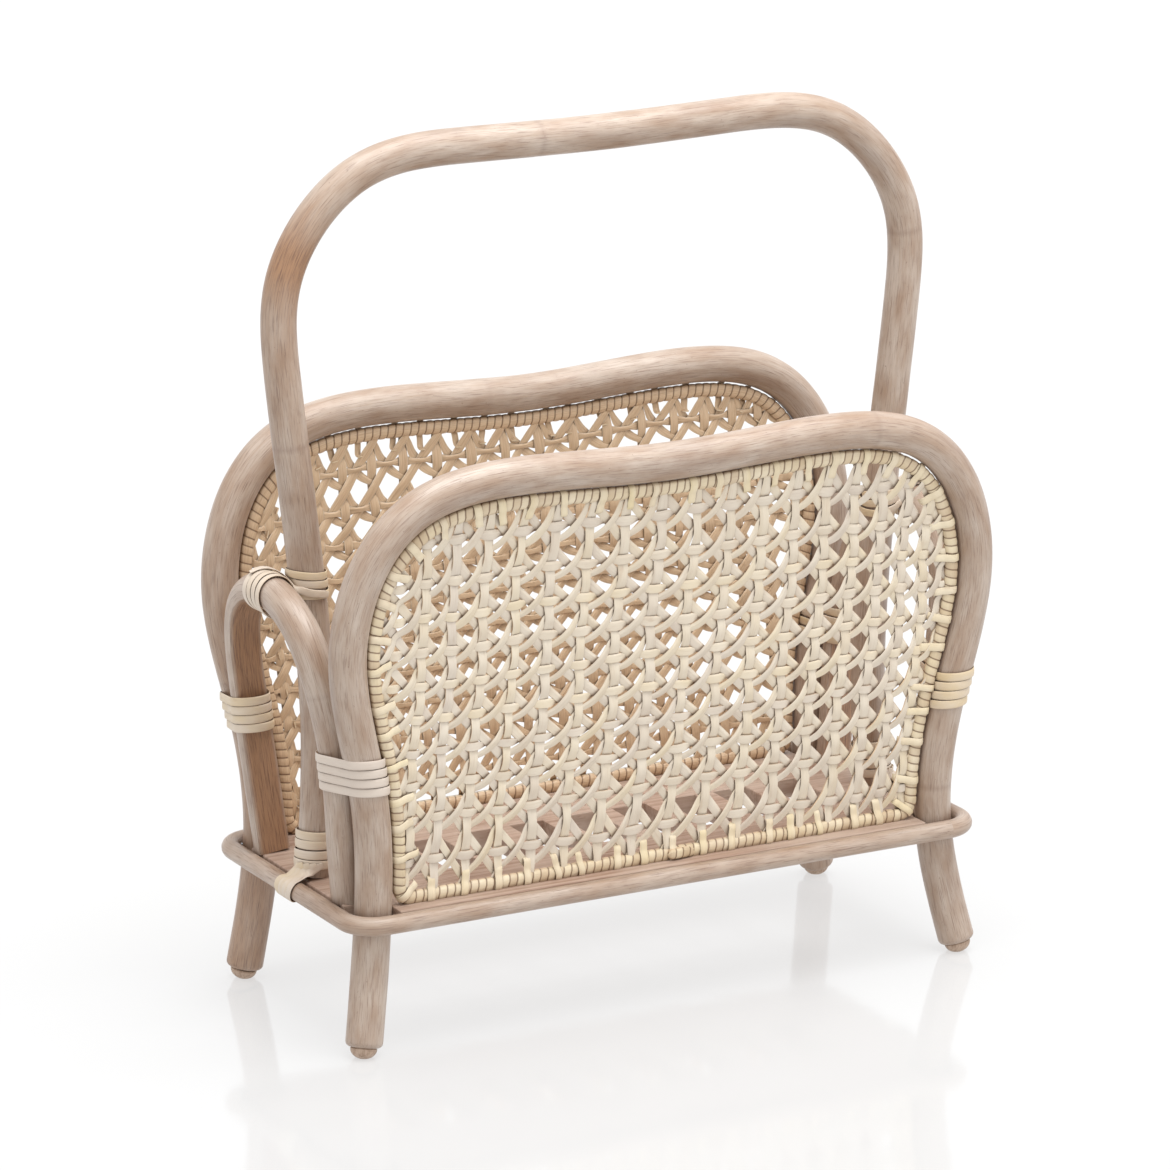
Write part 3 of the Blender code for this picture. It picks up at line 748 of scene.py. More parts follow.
# ---------------------------------------------------------------- the rack's own lines
@dataclass
class Lines:
    """The centre lines of the bent poles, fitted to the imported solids."""

    pole_r: float = 0.0110
    handle_r: float = 0.0105
    arch_r: float = 0.0106
    rim_r: float = 0.0055
    border_r: float = 0.0035
    waist_tuck: float = 0.0188
    foot_tuck: float = 0.0075
    foot_spread: float = 0.0102
    back_left_set: float = 0.0090
    side_hollow: float = 0.0045
    lean: float = 0.064
    belly_drop: float = 0.0903
    shoulder: tuple[float, float] = (0.0148, 0.0331)
    corner: tuple[float, float] = (0.0475, 0.0048)
    crown: float = 0.0035        # how far the settled frame rises over its top point
    hip_z: float = 0.1711
    hip_tuck: float = 0.0040
    flare_drop: float = 0.1173
    neck: tuple[float, float] = (0.0029, 0.0584)
    bend: tuple[float, float] = (0.0464, 0.0083)
    shoulder_rise: tuple[float, float] = (0.1145, -0.0013)
    lead: float = 0.0055
    arch_shoulder: float = 0.0045
    plug_h: float = 0.0058
    tie_z: float = 0.1620        # middle of the lashings between arch and frame
    tie_h: float = 0.0200
    panel_inset: float = 0.0167
    panel_corner: float = 0.0090
    leg_gap: float = 0.0009      # between a leg and the rim
    touch_gap: float = 0.0006    # between an arch's leg and a frame
    rest_gap: float = 0.0003     # between faces that rest on each other
    lash_gap: float = 0.0024     # room for both lashings between the arch's apex and the handle
    handle_rise: float = 0.0015  # how far the settled handle rises over its top point
    handle_bulge: float = 0.0018  # and how far it swings out past its widest one
    foot_shift: float = 0.0011   # the handle's foot stands this far out from its lashing's middle
    frame_line: np.ndarray = field(init=False)
    handle_line: np.ndarray = field(init=False)
    arch_line: np.ndarray = field(init=False)

    def __post_init__(self) -> None:
        """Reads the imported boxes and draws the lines."""
        rim_low, rim_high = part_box("base_rim")
        board_low, board_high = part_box("base_board")
        self.rim_z = (rim_low.z + rim_high.z) / 2
        self.rim_x = rim_high.x - self.rim_r
        self.rim_y = rim_high.y - self.rim_r
        self.board_bottom, self.board_top = board_low.z, board_high.z
        self.sole_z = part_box("carry_handle")[0].z
        self.waist_x = self.rim_x - self.rim_r - self.pole_r - self.leg_gap
        self.waist_y = self.rim_y - self.rim_r - self.pole_r - self.leg_gap
        self.belly_x = self.waist_x + self.waist_tuck
        self.top_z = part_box("front_frame")[1].z - self.pole_r - self.crown
        self.handle_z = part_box("carry_handle")[1].z - self.handle_r - self.handle_rise
        self.frame_line = self.frame_half()
        self.handle_line = self.handle_half()
        self.arch_line = self.arch_half()

    def depth(self, height: float) -> float:
        """The front frame's centre line's y at a height above the rim."""
        return -(self.waist_y + self.lean * (height - self.rim_z))

    def mirrored(self, half: list[tuple[float, float, float]],
                 top: tuple[float, float, float], count: int) -> np.ndarray:
        """A line over the top, from one half's points.

        Args:
            half: the right half from its foot up.
            top: the middle point.
            count: stations.
        Returns:
            The line from the left foot to the right foot.
        """
        left = [(-x, y, z) for x, y, z in half]
        return settle(left + [top] + half[::-1], count)

    def frame_half(self) -> np.ndarray:
        """The front frame's line."""
        belly_z = self.top_z - self.belly_drop
        middle_z = (self.rim_z + belly_z) / 2
        shoulder_z, corner_z = self.top_z - self.shoulder[1], self.top_z - self.corner[1]
        half = [
            (self.belly_x - self.foot_tuck, -(self.waist_y + self.foot_spread), self.plug_h),
            (self.waist_x, -self.waist_y, self.rim_z),
            ((self.waist_x + self.belly_x) / 2 - self.side_hollow, self.depth(middle_z), middle_z),
            (self.belly_x, self.depth(belly_z), belly_z),
            (self.belly_x - self.shoulder[0], self.depth(shoulder_z), shoulder_z),
            (self.belly_x - self.corner[0], self.depth(corner_z), corner_z),
        ]
        return self.mirrored(half, (0.0, self.depth(self.top_z), self.top_z), 361)

    def handle_half(self) -> np.ndarray:
        """The carrying handle's line."""
        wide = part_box("carry_handle")[1].x - self.handle_r - self.handle_bulge
        foot_low, foot_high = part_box("right_foot_lashing")
        foot_x = (foot_low.x + foot_high.x) / 2 + self.foot_shift
        half = [
            (foot_x, 0.0, self.sole_z),
            (foot_x - self.hip_tuck, 0.0, self.hip_z),
            (wide, 0.0, self.handle_z - self.flare_drop),
            (wide - self.neck[0], 0.0, self.handle_z - self.neck[1]),
            (wide - self.bend[0], 0.0, self.handle_z - self.bend[1]),
            (wide - self.shoulder_rise[0], 0.0, self.handle_z - self.shoulder_rise[1]),
        ]
        return self.mirrored(half, (0.0, 0.0, self.handle_z), 401)

    def arch_half(self) -> np.ndarray:
        """The right end arch's line, up its front leg and down its back one."""
        touch = self.pole_r + self.arch_r + self.touch_gap
        apex_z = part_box("right_end_arch")[1].z - self.arch_r
        reach = self.rim_r + self.rest_gap
        lift = min(self.sole_z - self.rim_z, reach)
        foot_x = self.rim_x - math.sqrt(reach ** 2 - lift ** 2) - self.arch_r
        apex_x = float(at_height(self.handle_line, apex_z)[0]) + self.apex_pitch()

        def beside(height: float, x: float) -> tuple[float, float, float]:
            frame_x, frame_y = at_height(self.frame_line, height)
            return (x, float(frame_y + math.sqrt(touch ** 2 - (x - frame_x) ** 2)), height)

        tie_x = float(at_height(self.frame_line, self.tie_z)[0]) + self.lead
        tie = beside(self.tie_z, tie_x)
        middle = beside((self.sole_z + self.tie_z) / 2, (foot_x + tie_x) / 2)
        radius = min(-tie[1] - self.arch_shoulder, apex_z - self.tie_z - self.tie_h / 2)
        front = [beside(self.sole_z, foot_x), middle, tie]
        for degrees in (15, 45, 70):
            turn = math.radians(degrees)
            height = apex_z - radius + radius * math.sin(turn)
            share = (height - self.tie_z) / (apex_z - self.tie_z)
            front.append((tie_x + (apex_x - tie_x) * share, -radius * math.cos(turn), height))
        back = [(x, -y, z) for x, y, z in front]
        return settle(front + [(apex_x, 0.0, apex_z)] + back[::-1], 241)

    def apex_pitch(self) -> float:
        """Centre distance of handle and arch where they are lashed."""
        return self.handle_r + self.arch_r + self.lash_gap

    def panel_outline(self, inset: float) -> np.ndarray:
        """A closed line inside the front frame and above the board.

        Args:
            inset: how far inside the frame's centre line it runs.
        Returns:
            Evenly spaced stations from the middle of the sill, leftwards.
        """
        flat = self.frame_line[:, (0, 2)]
        step = unit(np.gradient(flat, axis=0))
        inner = flat + inset * np.stack([step[:, 1], -step[:, 0]], axis=1)
        sill = self.sole_z + self.rest_gap + inset - self.panel_inset + self.border_r
        turn_z = sill + self.panel_corner
        upper = inner[inner[:, 1] > turn_z + self.panel_corner / 2]
        third = inner[:len(inner) // 3]
        side_x = float(np.interp(turn_z, third[:, 1], -third[:, 0])) - self.panel_corner
        angles = np.radians(np.linspace(180, 270, 9))
        left = np.stack([-side_x + self.panel_corner * np.cos(angles),
                         turn_z + self.panel_corner * np.sin(angles)], axis=1)[::-1]
        right = left[::-1] * (-1, 1)
        return np.vstack([[[0.0, sill]], left, upper, right, [[0.0, sill]]])


@dataclass
class Palette:
    """The finishes, made once."""

    pole: bpy.types.Material = field(default_factory=lambda: WashedRattan().material())
    web: bpy.types.Material = field(default_factory=lambda: CanePeel("cane_web_peel").material())
    border: bpy.types.Material = field(default_factory=lambda: CanePeel(
        "cane_border_peel", skin="#E8DBC2", warm="#E0CFA8", grey="#DDCCB0", turn_tint=0.40).material())
    tie: bpy.types.Material = field(default_factory=lambda: CanePeel(
        "cane_tie_peel", skin="#E8DBC2", warm="#E0CFA8", grey="#DDCCB0", crease_share=0.60).material())
    lashing: bpy.types.Material = field(default_factory=lambda: CanePeel(
        "cane_lashing_peel", skin="#D6C9BC", warm="#D6C09A", grey="#D0C2B5",
        crease_reach=0.0025).material())
    board: bpy.types.Material = field(default_factory=lambda: StainedBoard().material())
    plug: bpy.types.Material = field(default_factory=lambda: TurnedWood().material())
    steel: bpy.types.Material = field(default_factory=lambda: ZincSteel().material())


def bump_at(run: np.ndarray, centres: Sequence[float], size: float) -> np.ndarray:
    """A value that peaks at 1 at each centre and dies away over a size."""
    return sum(np.exp(-((run - centre) / size) ** 2) for centre in centres)


@dataclass
class Pole:
    """A bent rattan pole: slight swellings, and knuckles where leaves once grew."""

    name: str
    line: np.ndarray
    radius: float
    replaces: tuple[str, ...]
    knuckles: tuple[float, ...] = ()
    chamfer: float = 0.0
    sides: int = 32
    seed: int = 1
    bare: Optional[np.ndarray] = None
    faces: Optional[np.ndarray] = None
    flat: float = 0.0            # depth of the shaved side, from the centre line
    closed: bool = False
    shrink: float = 0.974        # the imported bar's flats lie inside its corners
    uneven: float = 0.008        # swellings along the pole, as a share of its radius
    swell_size: float = 0.0045   # half length of a knuckle's swelling
    ring_size: float = 0.0009    # and of the groove round its middle

    def build(self, finish: bpy.types.Material) -> bpy.types.Object:
        """Makes the pole.

        Args:
            finish: its material.
        Returns:
            The piece.
        """
        rng = np.random.default_rng(self.seed)
        line = self.line
        run = run_of(line)
        radius = self.radius * (self.shrink - self.uneven + wander(rng, run, 0.11, self.uneven))
        if self.closed:
            radius = np.full(len(line), self.radius * self.shrink)
        centres = [share * run[-1] for share in self.knuckles]
        swell = bump_at(run, centres, self.swell_size) if centres else np.zeros(len(run))
        ring = bump_at(run, centres, self.ring_size) if centres else np.zeros(len(run))
        radius = radius + self.radius * (0.006 * swell - 0.008 * ring)
        if self.chamfer:
            edge = np.minimum(run, run[-1] - run)
            share = np.clip(1 - edge / self.chamfer, 0.0, 1.0)
            radius = radius - self.chamfer * (1 - np.sqrt(np.clip(1 - share ** 2, 0.0, 1.0)))
        flat = self.flat

        def shaved(theta: np.ndarray, _: np.ndarray) -> np.ndarray:
            depth = -np.sin(theta) * self.radius
            return np.where(depth > flat, flat / np.maximum(depth, 1e-9), 1.0)

        bundle = Bundle(self.name)
        bundle.add(Bar(line, radius, sides=self.sides, closed=self.closed, bare=self.bare,
                       knuckle=np.clip(ring, 0.0, 1.0), faces=self.faces, offset=3.7 * self.seed,
                       relief=shaved if flat else None))
        piece = bundle.make(finish, 50.0)
        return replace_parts(piece, *self.replaces)


def with_fine_ends(line: np.ndarray, reach: float) -> np.ndarray:
    """The line with extra stations near its ends, for a rounded arris.

    Args:
        line: the line.
        reach: length over which the ends are refined.
    Returns:
        The line with its new stations.
    """
    run = run_of(line)
    total = run[-1]
    ends = reach * np.array([0.0, 0.02, 0.07, 0.16, 0.3, 0.5, 0.75, 1.0])
    middle = run[(run > reach * 1.2) & (run < total - reach * 1.2)]
    steps = np.concatenate([ends, middle, (total - ends)[::-1]])
    return along(line, steps / total)


@dataclass
class PoleWork:
    """All the bent poles: two frames, the handle, two arches and the rim."""

    lines: Lines
    palette: Palette

    def build(self) -> None:
        """Makes every pole."""
        self.frames()
        self.handle()
        self.arches()
        self.rim()

    def frames(self) -> None:
        """The two side frames, the back one with its left leg set in and left browner."""
        lines = self.lines
        for side in Side:
            line = lines.frame_line * (1, side.value, 1)
            if side is Side.BACK:
                below = line[:len(line) // 2]
                length = lines.board_bottom - lines.plug_h
                share = np.clip((lines.board_bottom - below[:, 2]) / length, 0, 1)
                below[:, 1] -= lines.back_left_set * share * (1 + share) / 2
            line = with_fine_ends(line, 0.0034)
            run = run_of(line)
            if side is Side.FRONT:
                bare = 0.10 * bump_at(run, (0.62 * run[-1],), 0.10)
            else:
                bare = 0.50 * np.clip(1.25 - run / 0.30, 0.0, 1.0)
                bare = bare + 0.25 * bump_at(run, (run[-1],), 0.12)
            Pole(side.name.lower() + "_frame_pole", line, lines.pole_r, (side.name.lower() + "_frame",),
                 knuckles=(0.07, 0.36, 0.63, 0.90) if side is Side.FRONT else (0.18, 0.47, 0.80),
                 chamfer=0.0032, seed=3 + side.value, bare=bare).build(self.palette.pole)

    def handle(self) -> None:
        """The carrying handle, scorched a little at its left bend."""
        lines = self.lines
        line = lines.handle_line
        run = run_of(line)
        scorch = 0.80 * bump_at(run, (0.312 * run[-1],), 0.020)
        bare = np.clip(scorch + 0.30 * bump_at(run, (0.29 * run[-1],), 0.06), 0.0, 1.0)
        Pole("carry_handle_pole", line, lines.handle_r, ("carry_handle",),
             knuckles=(0.22, 0.465, 0.71), seed=9, bare=bare).build(self.palette.pole)

    def arches(self) -> None:
        """The two end arches with their inner side shaved flat."""
        lines = self.lines
        for end in End:
            line = lines.arch_line * (end.value, 1, 1)
            tangents = np.gradient(line, axis=0)
            faces = np.cross((1.0, 0.0, 0.0), tangents)
            run = run_of(line)
            middle = run[-1] / 2
            sides = 32
            theta = np.linspace(0, 2 * math.pi, sides, endpoint=False)
            inward = np.clip((-np.sin(theta) - 0.42) / 0.12, 0.0, 1.0)
            far = np.clip((np.abs(run - middle) - 0.020) / 0.006, 0.0, 1.0)
            bare = 0.92 * far[:, None] * inward[None, :]
            Pole(end.name.lower() + "_end_arch_pole", line, lines.arch_r,
                 (end.name.lower() + "_end_arch",), knuckles=(0.31, 0.78), sides=sides,
                 seed=13 + end.value, bare=bare, faces=faces, flat=0.0050).build(self.palette.pole)

    def rim(self) -> None:
        """The thin pole bent round the four legs."""
        lines = self.lines
        radius = lines.rim_x - lines.waist_x
        points = []
        for sx, sy, start in ((1, -1, -90), (1, 1, 0), (-1, 1, 90), (-1, -1, 180)):
            turns = np.radians(np.linspace(start, start + 90, 15))
            points += [(sx * lines.waist_x + radius * math.cos(t),
                        sy * lines.waist_y + radius * math.sin(t), lines.rim_z) for t in turns]
        ring = np.array(points + points[:1])
        line = along(ring, np.linspace(0, 1, 361))[:-1]
        Pole("base_rim_pole", line, lines.rim_r, ("base_rim",), sides=24, seed=21, closed=True,
             bare=np.full(len(line), 0.16)).build(self.palette.pole)


@dataclass
class Base:
    """The base board and the four foot plugs."""

    lines: Lines
    palette: Palette
    arris: float = 0.0009
    slots: int = 9               # cut across the board, in a row along it
    slot_pitch: float = 0.0336
    slot_w: float = 0.0215
    slot_l: float = 0.0530
    plug_d: float = 0.0152
    plug_cut: float = 0.0008     # taken off the dome, so that it stands flat
    plug_edge: float = 0.0006    # chamfer where it meets the leg
    dome: float = 0.9            # the dome's height, as a share of a half ellipse's
    leg_gap: float = 0.0009      # round a leg in its notch
    lashing_gap: float = 0.0006  # round a rim lashing in its notch

    def build(self) -> None:
        """Makes the board and the plugs."""
        self.board()
        for side in Side:
            for end in End:
                self.plug(side, end)

    def board(self) -> None:
        """The board, notched for the legs and the rim lashings, slotted, with its arrises eased."""
        lines = self.lines
        low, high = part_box("base_board")
        notch = lines.pole_r + self.leg_gap
        slot_low, slot_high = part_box("right_rim_lashing")
        slot_x, slot_y = slot_low.x - self.lashing_gap, slot_high.y + self.lashing_gap
        quarter = [(slot_x, 0.0), (slot_x, slot_y), (high.x, slot_y), (high.x, lines.waist_y - notch)]
        for t in np.radians(np.linspace(270, 180, 13)):
            quarter.append((lines.waist_x + notch * math.cos(t), lines.waist_y + notch * math.sin(t)))
        quarter.append((lines.waist_x - notch, high.y))
        outline = quarter + [(-x, y) for x, y in quarter[::-1]]
        outline += [(-x, -y) for x, y in quarter[1:]] + [(x, -y) for x, y in quarter[:0:-1]]
        build = bmesh.new()
        build.faces.new([build.verts.new((x, y, low.z)) for x, y in outline])
        middles = [(i - (self.slots - 1) / 2) * self.slot_pitch for i in range(self.slots)]
        cuts = [((x + turn * self.slot_w / 2, 0, 0), (1, 0, 0)) for x in middles for turn in (-1, 1)]
        cuts += [((0, turn * self.slot_l / 2, 0), (0, 1, 0)) for turn in (-1, 1)]
        for point, normal in cuts:
            everything = build.verts[:] + build.edges[:] + build.faces[:]
            bmesh.ops.bisect_plane(build, geom=everything, plane_co=point, plane_no=normal)
        opened = []
        for face in build.faces:
            at = face.calc_center_median()
            if abs(at.y) < self.slot_l / 2 and any(abs(at.x - x) < self.slot_w / 2 for x in middles):
                opened.append(face)
        bmesh.ops.delete(build, geom=opened, context="FACES")
        raised = bmesh.ops.extrude_face_region(build, geom=build.faces[:])["geom"]
        bmesh.ops.translate(build, vec=(0, 0, high.z - low.z),
                            verts=[item for item in raised if isinstance(item, bmesh.types.BMVert)])
        bmesh.ops.recalc_face_normals(build, faces=build.faces)
        rims = [edge for edge in build.edges if edge.calc_face_angle(0.0) > 1.0
                and abs(edge.verts[0].co.z - edge.verts[1].co.z) < 1e-6]
        bmesh.ops.bevel(build, geom=rims, offset=self.arris, segments=3, profile=0.5,
                        affect="EDGES", material=-1)
        bmesh.ops.recalc_face_normals(build, faces=build.faces)
        mesh = closed_up(build, "base_board_planed")
        piece = finished("base_board_planed", mesh, self.palette.board, 30.0)
        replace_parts(piece, "base_board")

    def plug(self, side: Side, end: End) -> None:
        """A domed plug in a leg's end, flat where it stands.

        Args:
            side: the frame.
            end: the end.
        """
        lines = self.lines
        node = f"{side.name.lower()}_{end.name.lower()}_foot_plug"
        line = lines.frame_line * (-end.value, side.value, 1)
        low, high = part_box(node)
        foot = Vector(((low.x + high.x) / 2, (low.y + high.y) / 2, 0.0))
        leg = Vector(line[0])
        leg.x = abs(leg.x) * end.value
        up = Vector(line[6]) - Vector(line[0])
        up.x = -abs(up.x) * end.value
        up.normalize()
        if node == "back_left_foot_plug":
            leg.y -= lines.back_left_set
            up = (up + Vector((0.0, 0.07, 0.0))).normalized()
        height = lines.plug_h
        radius, full = self.plug_d / 2, height + self.plug_cut
        start = leg - up * full
        build = bmesh.new()
        profile = [(0.0, 0.0)]
        for degrees in range(8, 81, 8):
            turn = math.radians(degrees)
            profile.append((radius * math.sin(turn), full * (1 - math.cos(turn)) * self.dome))
        profile += [(radius, height + 0.0002), (radius - self.plug_edge, full), (0.0, full)]
        points = [build.verts.new((x, 0.0, z)) for x, z in profile]
        edges = [build.edges.new(pair) for pair in zip(points, points[1:])]
        bmesh.ops.spin(build, geom=points + edges, cent=(0, 0, 0), axis=(0, 0, 1),
                       angle=2 * math.pi, steps=40, use_merge=True)
        bmesh.ops.remove_doubles(build, verts=build.verts, dist=1e-6)
        turn = up.to_track_quat("Z", "Y").to_matrix().to_4x4()
        bmesh.ops.transform(build, matrix=Matrix.Translation(start) @ turn, verts=build.verts)
        everything = build.verts[:] + build.edges[:] + build.faces[:]
        cut = bmesh.ops.bisect_plane(build, geom=everything, plane_co=(0, 0, 0.0),
                                     plane_no=(0, 0, -1), clear_outer=True)
        rim = [item for item in cut["geom_cut"] if isinstance(item, bmesh.types.BMEdge)]
        bmesh.ops.holes_fill(build, edges=rim, sides=0)
        bmesh.ops.recalc_face_normals(build, faces=build.faces)
        mesh = closed_up(build, node + "_turned")
        piece = finished(node + "_turned", mesh, self.palette.plug, 35.0)
        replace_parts(piece, node)


# ---------------------------------------------------------------- cane panels
@dataclass
class CanePanel:
    """A panel of six-way cane weave tied to a wrapped border."""

    side: Side
    lines: Lines
    palette: Palette
    seed: int = 5
    origin: tuple[float, float] = (-0.0099, 0.2270)   # a knot near the middle
    pitch: tuple[float, float] = (0.0225, 0.0196)
    closing: float = 0.000036    # columns close up to both sides
    dropping: float = 0.00030    # rows drop a little to the right
    lean: float = 0.05           # uprights lean to the right as they climb
    top_opening: float = 0.0019  # the highest rows stand wider apart
    low_opening: float = 0.0028  # and so do the lowest
    thick: float = 0.0012        # one layer of peel
    upright_w: float = 0.0058
    row_w: float = 0.0056
    rising_w: float = 0.0062
    falling_w: float = 0.0053
    wrap: float = 0.0049         # width of one wrap of the border
    border_w: float = 0.0090
    border_t: float = 0.0068
    tie_pitch: float = 0.0195    # one tie to about this length of border
    tie_w: float = 0.0042
    tie_t: float = 0.0009
    lap: float = 0.016           # length of the lapped end of the border's core
    lap_rise: float = 0.0034
    steps: int = 14              # stations in one pitch of a strand

    def __post_init__(self) -> None:
        """Seeds the panel and draws its outline."""
        self.rng = np.random.default_rng(self.seed)
        self.name = self.side.name.lower()
        self.outline = self.lines.panel_outline(self.lines.pole_r + self.border_w / 2 - 0.0001)
        self.phases = self.rng.uniform(0, 2 * math.pi, 8)

    def lattice(self, u: np.ndarray, v: np.ndarray) -> tuple[np.ndarray, np.ndarray]:
        """Where a point of the weave lies on the panel, hand-made unevenness included.

        Args:
            u: columns from the origin.
            v: rows from the origin.
        Returns:
            x and z.
        """
        x = self.origin[0] + self.pitch[0] * u - self.closing * u ** 3
        z = self.origin[1] + self.pitch[1] * v - self.dropping * u
        z = z + self.top_opening * np.clip(v - 1.5, 0.0, 9.0) ** 2
        z = z - self.low_opening * np.clip(-4.5 - v, 0.0, 9.0) ** 2
        x = x + self.lean * (z - self.origin[1])
        p = self.phases
        x = x + 0.0008 * np.sin(1.1 * v + 0.5 * u + p[0]) + 0.0006 * np.sin(0.9 * u - 1.9 * v + p[1])
        z = z + 0.0007 * np.sin(0.8 * u + 0.6 * v + p[2]) + 0.0005 * np.sin(1.7 * u - 0.7 * v + p[3])
        return x, z

    def place(self, x: np.ndarray, z: np.ndarray, out: Values) -> tuple[np.ndarray, np.ndarray]:
        """Puts panel points in space.

        Args:
            x: along the rack, as seen from outside the panel.
            z: height.
            out: how far outwards from the panel's middle.
        Returns:
            The points and the outward directions there.
        """
        y = at_height(self.lines.frame_line, z)[..., 1]
        slope = (at_height(self.lines.frame_line, z + 0.001)[..., 1] - y) / 0.001
        outward = np.stack([np.zeros_like(slope), -np.ones_like(slope), slope], axis=-1)
        outward = unit(outward)
        points = np.stack([x, y, z], axis=-1) + np.asarray(out)[..., None] * outward
        turn = np.array([self.side.value, self.side.value, 1])
        return points * turn, outward * turn

    def inside(self, x: np.ndarray, z: np.ndarray) -> np.ndarray:
        """Which points lie inside the border's centre line, by crossings to the right."""
        ring = self.outline
        found = np.zeros(len(x), bool)
        for (x0, z0), (x1, z1) in zip(ring, np.roll(ring, -1, axis=0)):
            spans = (z0 > z) != (z1 > z)
            with np.errstate(divide="ignore", invalid="ignore"):
                crossing = x0 + (z - z0) * (x1 - x0) / (z1 - z0)
            found ^= spans & (x < crossing)
        return found

    def build(self) -> None:
        """Makes the weave, the border and its ties."""
        self.uprights()
        self.rows()
        self.diagonals(1, "rising")
        self.diagonals(-1, "falling")
        self.border()
        self.ties()

    def weave(self, bundle: Bundle, u: np.ndarray, v: np.ndarray, out: np.ndarray,
              width: np.ndarray, roll: np.ndarray, drift: np.ndarray) -> None:
        """Adds a strand wherever its line runs inside the border.

        Args:
            bundle: the piece it joins.
            u: its columns.
            v: its rows.
            out: its height above the panel's middle.
            width: its width.
            roll: its turn about its own line, in radians.
            drift: its sideways shift in the panel, in metres.
        """
        x, z = self.lattice(u, v)
        flat = np.stack([x, z], axis=1)
        step = unit(np.gradient(flat, axis=0))
        flat = flat + drift[:, None] * np.stack([-step[:, 1], step[:, 0]], axis=1)
        keep = self.inside(flat[:, 0], flat[:, 1])
        edges = np.flatnonzero(np.diff(np.concatenate([[0], keep.astype(int), [0]])))
        for first, last in zip(edges[::2], edges[1::2]):
            if last - first < 8:
                continue
            part = slice(first, last)
            points, outward = self.place(flat[part, 0], flat[part, 1], out[part])
            tangents = unit(np.gradient(points, axis=0))
            across = np.cross(outward, tangents)
            angle = roll[part][:, None]
            faces = outward * np.cos(angle) + across * np.sin(angle)
            run = run_of(points)
            ease = np.clip(np.minimum(run, run[-1] - run) / 0.010, 0.0, 1.0)
            own = width[part] * (1 + self.rng.uniform(-0.09, 0.09)) * (0.72 + 0.28 * ease)
            own = own * (1 + wander(self.rng, run, 0.05, 0.035))
            bundle.add(Bar(points, own / 2, self.thick / 2, faces, sides=10, flatness=2.7,
                           tint=float(self.rng.uniform(0, 1)), offset=1.7 * len(bundle.bars)))

    def uprights(self) -> None:
        """Uprights: under the rows at each knot and over the diagonals halfway between."""
        bundle = Bundle(self.name + "_weave_uprights")
        for u in range(-7, 10):
            v = np.arange(-9, 6, 1 / self.steps)
            wave = np.cos(2 * math.pi * v)
            out = self.thick * (0.25 - 0.75 * wave)
            width = self.upright_w * (1.02 + 0.07 * wave)
            roll = wander(self.rng, v, 3.0, 0.10)
            self.weave(bundle, np.full_like(v, u), v, out, width, roll, wander(self.rng, v, 4.0, 0.0004))
        self.finish(bundle)

    def rows(self) -> None:
        """Rows: over the uprights at each knot, at the very back halfway between."""
        bundle = Bundle(self.name + "_weave_rows")
        for v in range(-6, 4):
            u = np.arange(-10, 11, 1 / self.steps)
            wave = np.cos(2 * math.pi * u)
            out = self.thick * (-0.20 + 1.0 * wave)
            width = self.row_w * (0.76 + 0.24 * np.clip(wave * 1.6, -1, 1))
            roll = wander(self.rng, u, 3.0, 0.12)
            self.weave(bundle, u, np.full_like(u, v), out, width, roll, wander(self.rng, u, 3.0, 0.0005))
        self.finish(bundle)

    def diagonals(self, rise: int, kind: str) -> None:
        """One set of diagonals.

        Args:
            rise: 1 for strands that climb to the right, -1 for those that fall.
            kind: the piece's name.
        """
        bundle = Bundle(f"{self.name}_weave_{kind}")
        for start in range(-20, 20):
            u = np.arange(-10, 11, 1 / self.steps)
            v = rise * u + start + 0.5
            wave = np.cos(2 * math.pi * u)
            if rise > 0:
                # middle layer where it passes under an upright, top layer over the rows
                out = self.thick * (0.45 - 0.55 * wave)
                roll = -0.20 + 0.12 * wave + wander(self.rng, u, 2.0, 0.06)
                drift = 0.0014 * wave + 0.0003 * np.cos(4 * math.pi * u)
                drift = drift + wander(self.rng, u, 3.0, 0.0003)
                width = self.rising_w * (0.79 - 0.21 * wave)
            else:
                # lowest layer under an upright, middle layer under the rising strand
                out = self.thick * (-0.50 - 0.50 * wave)
                roll = 0.06 * wave + wander(self.rng, u, 2.0, 0.05)
                drift = wander(self.rng, u, 3.0, 0.0004)
                width = self.falling_w * (1.0 + 0.06 * wave)
            self.weave(bundle, u, v, out, width, roll, drift)
        self.finish(bundle)

    def finish(self, bundle: Bundle) -> None:
        """Makes a set of strands a piece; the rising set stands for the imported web."""
        piece = bundle.make(self.palette.web)
        if bundle.name.endswith("rising"):
            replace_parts(piece, self.name + "_cane_web")

    def border_line(self, count: int) -> tuple[np.ndarray, np.ndarray]:
        """The border's centre line in space.

        Args:
            count: stations.
        Returns:
            The stations and the outward directions.
        """
        ring = along(self.outline, np.linspace(0, 1, count + 1))[:-1]
        return self.place(ring[:, 0], ring[:, 1], 0.0)

    def border(self) -> None:
        """The core wound all round with peel, and the knob where its ends lap."""
        length = run_of(self.outline)[-1]
        turns = round(length / self.wrap)
        points, outward = self.border_line(turns * 9)
        pitch = run_of(np.vstack([points, points[:1]]))[-1] / turns
        rng = np.random.default_rng(self.seed + 40)
        swell = rng.uniform(-1, 1, turns + 2)

        def wound(theta: np.ndarray, run: np.ndarray) -> np.ndarray:
            phase = run / pitch + theta / (2 * math.pi)
            inside = phase % 1.0
            dome = np.abs(np.sin(math.pi * inside)) ** 0.45
            own = swell[np.floor(phase).astype(int) % turns]
            return (0.86 + 0.025 * own) + 0.12 * dome

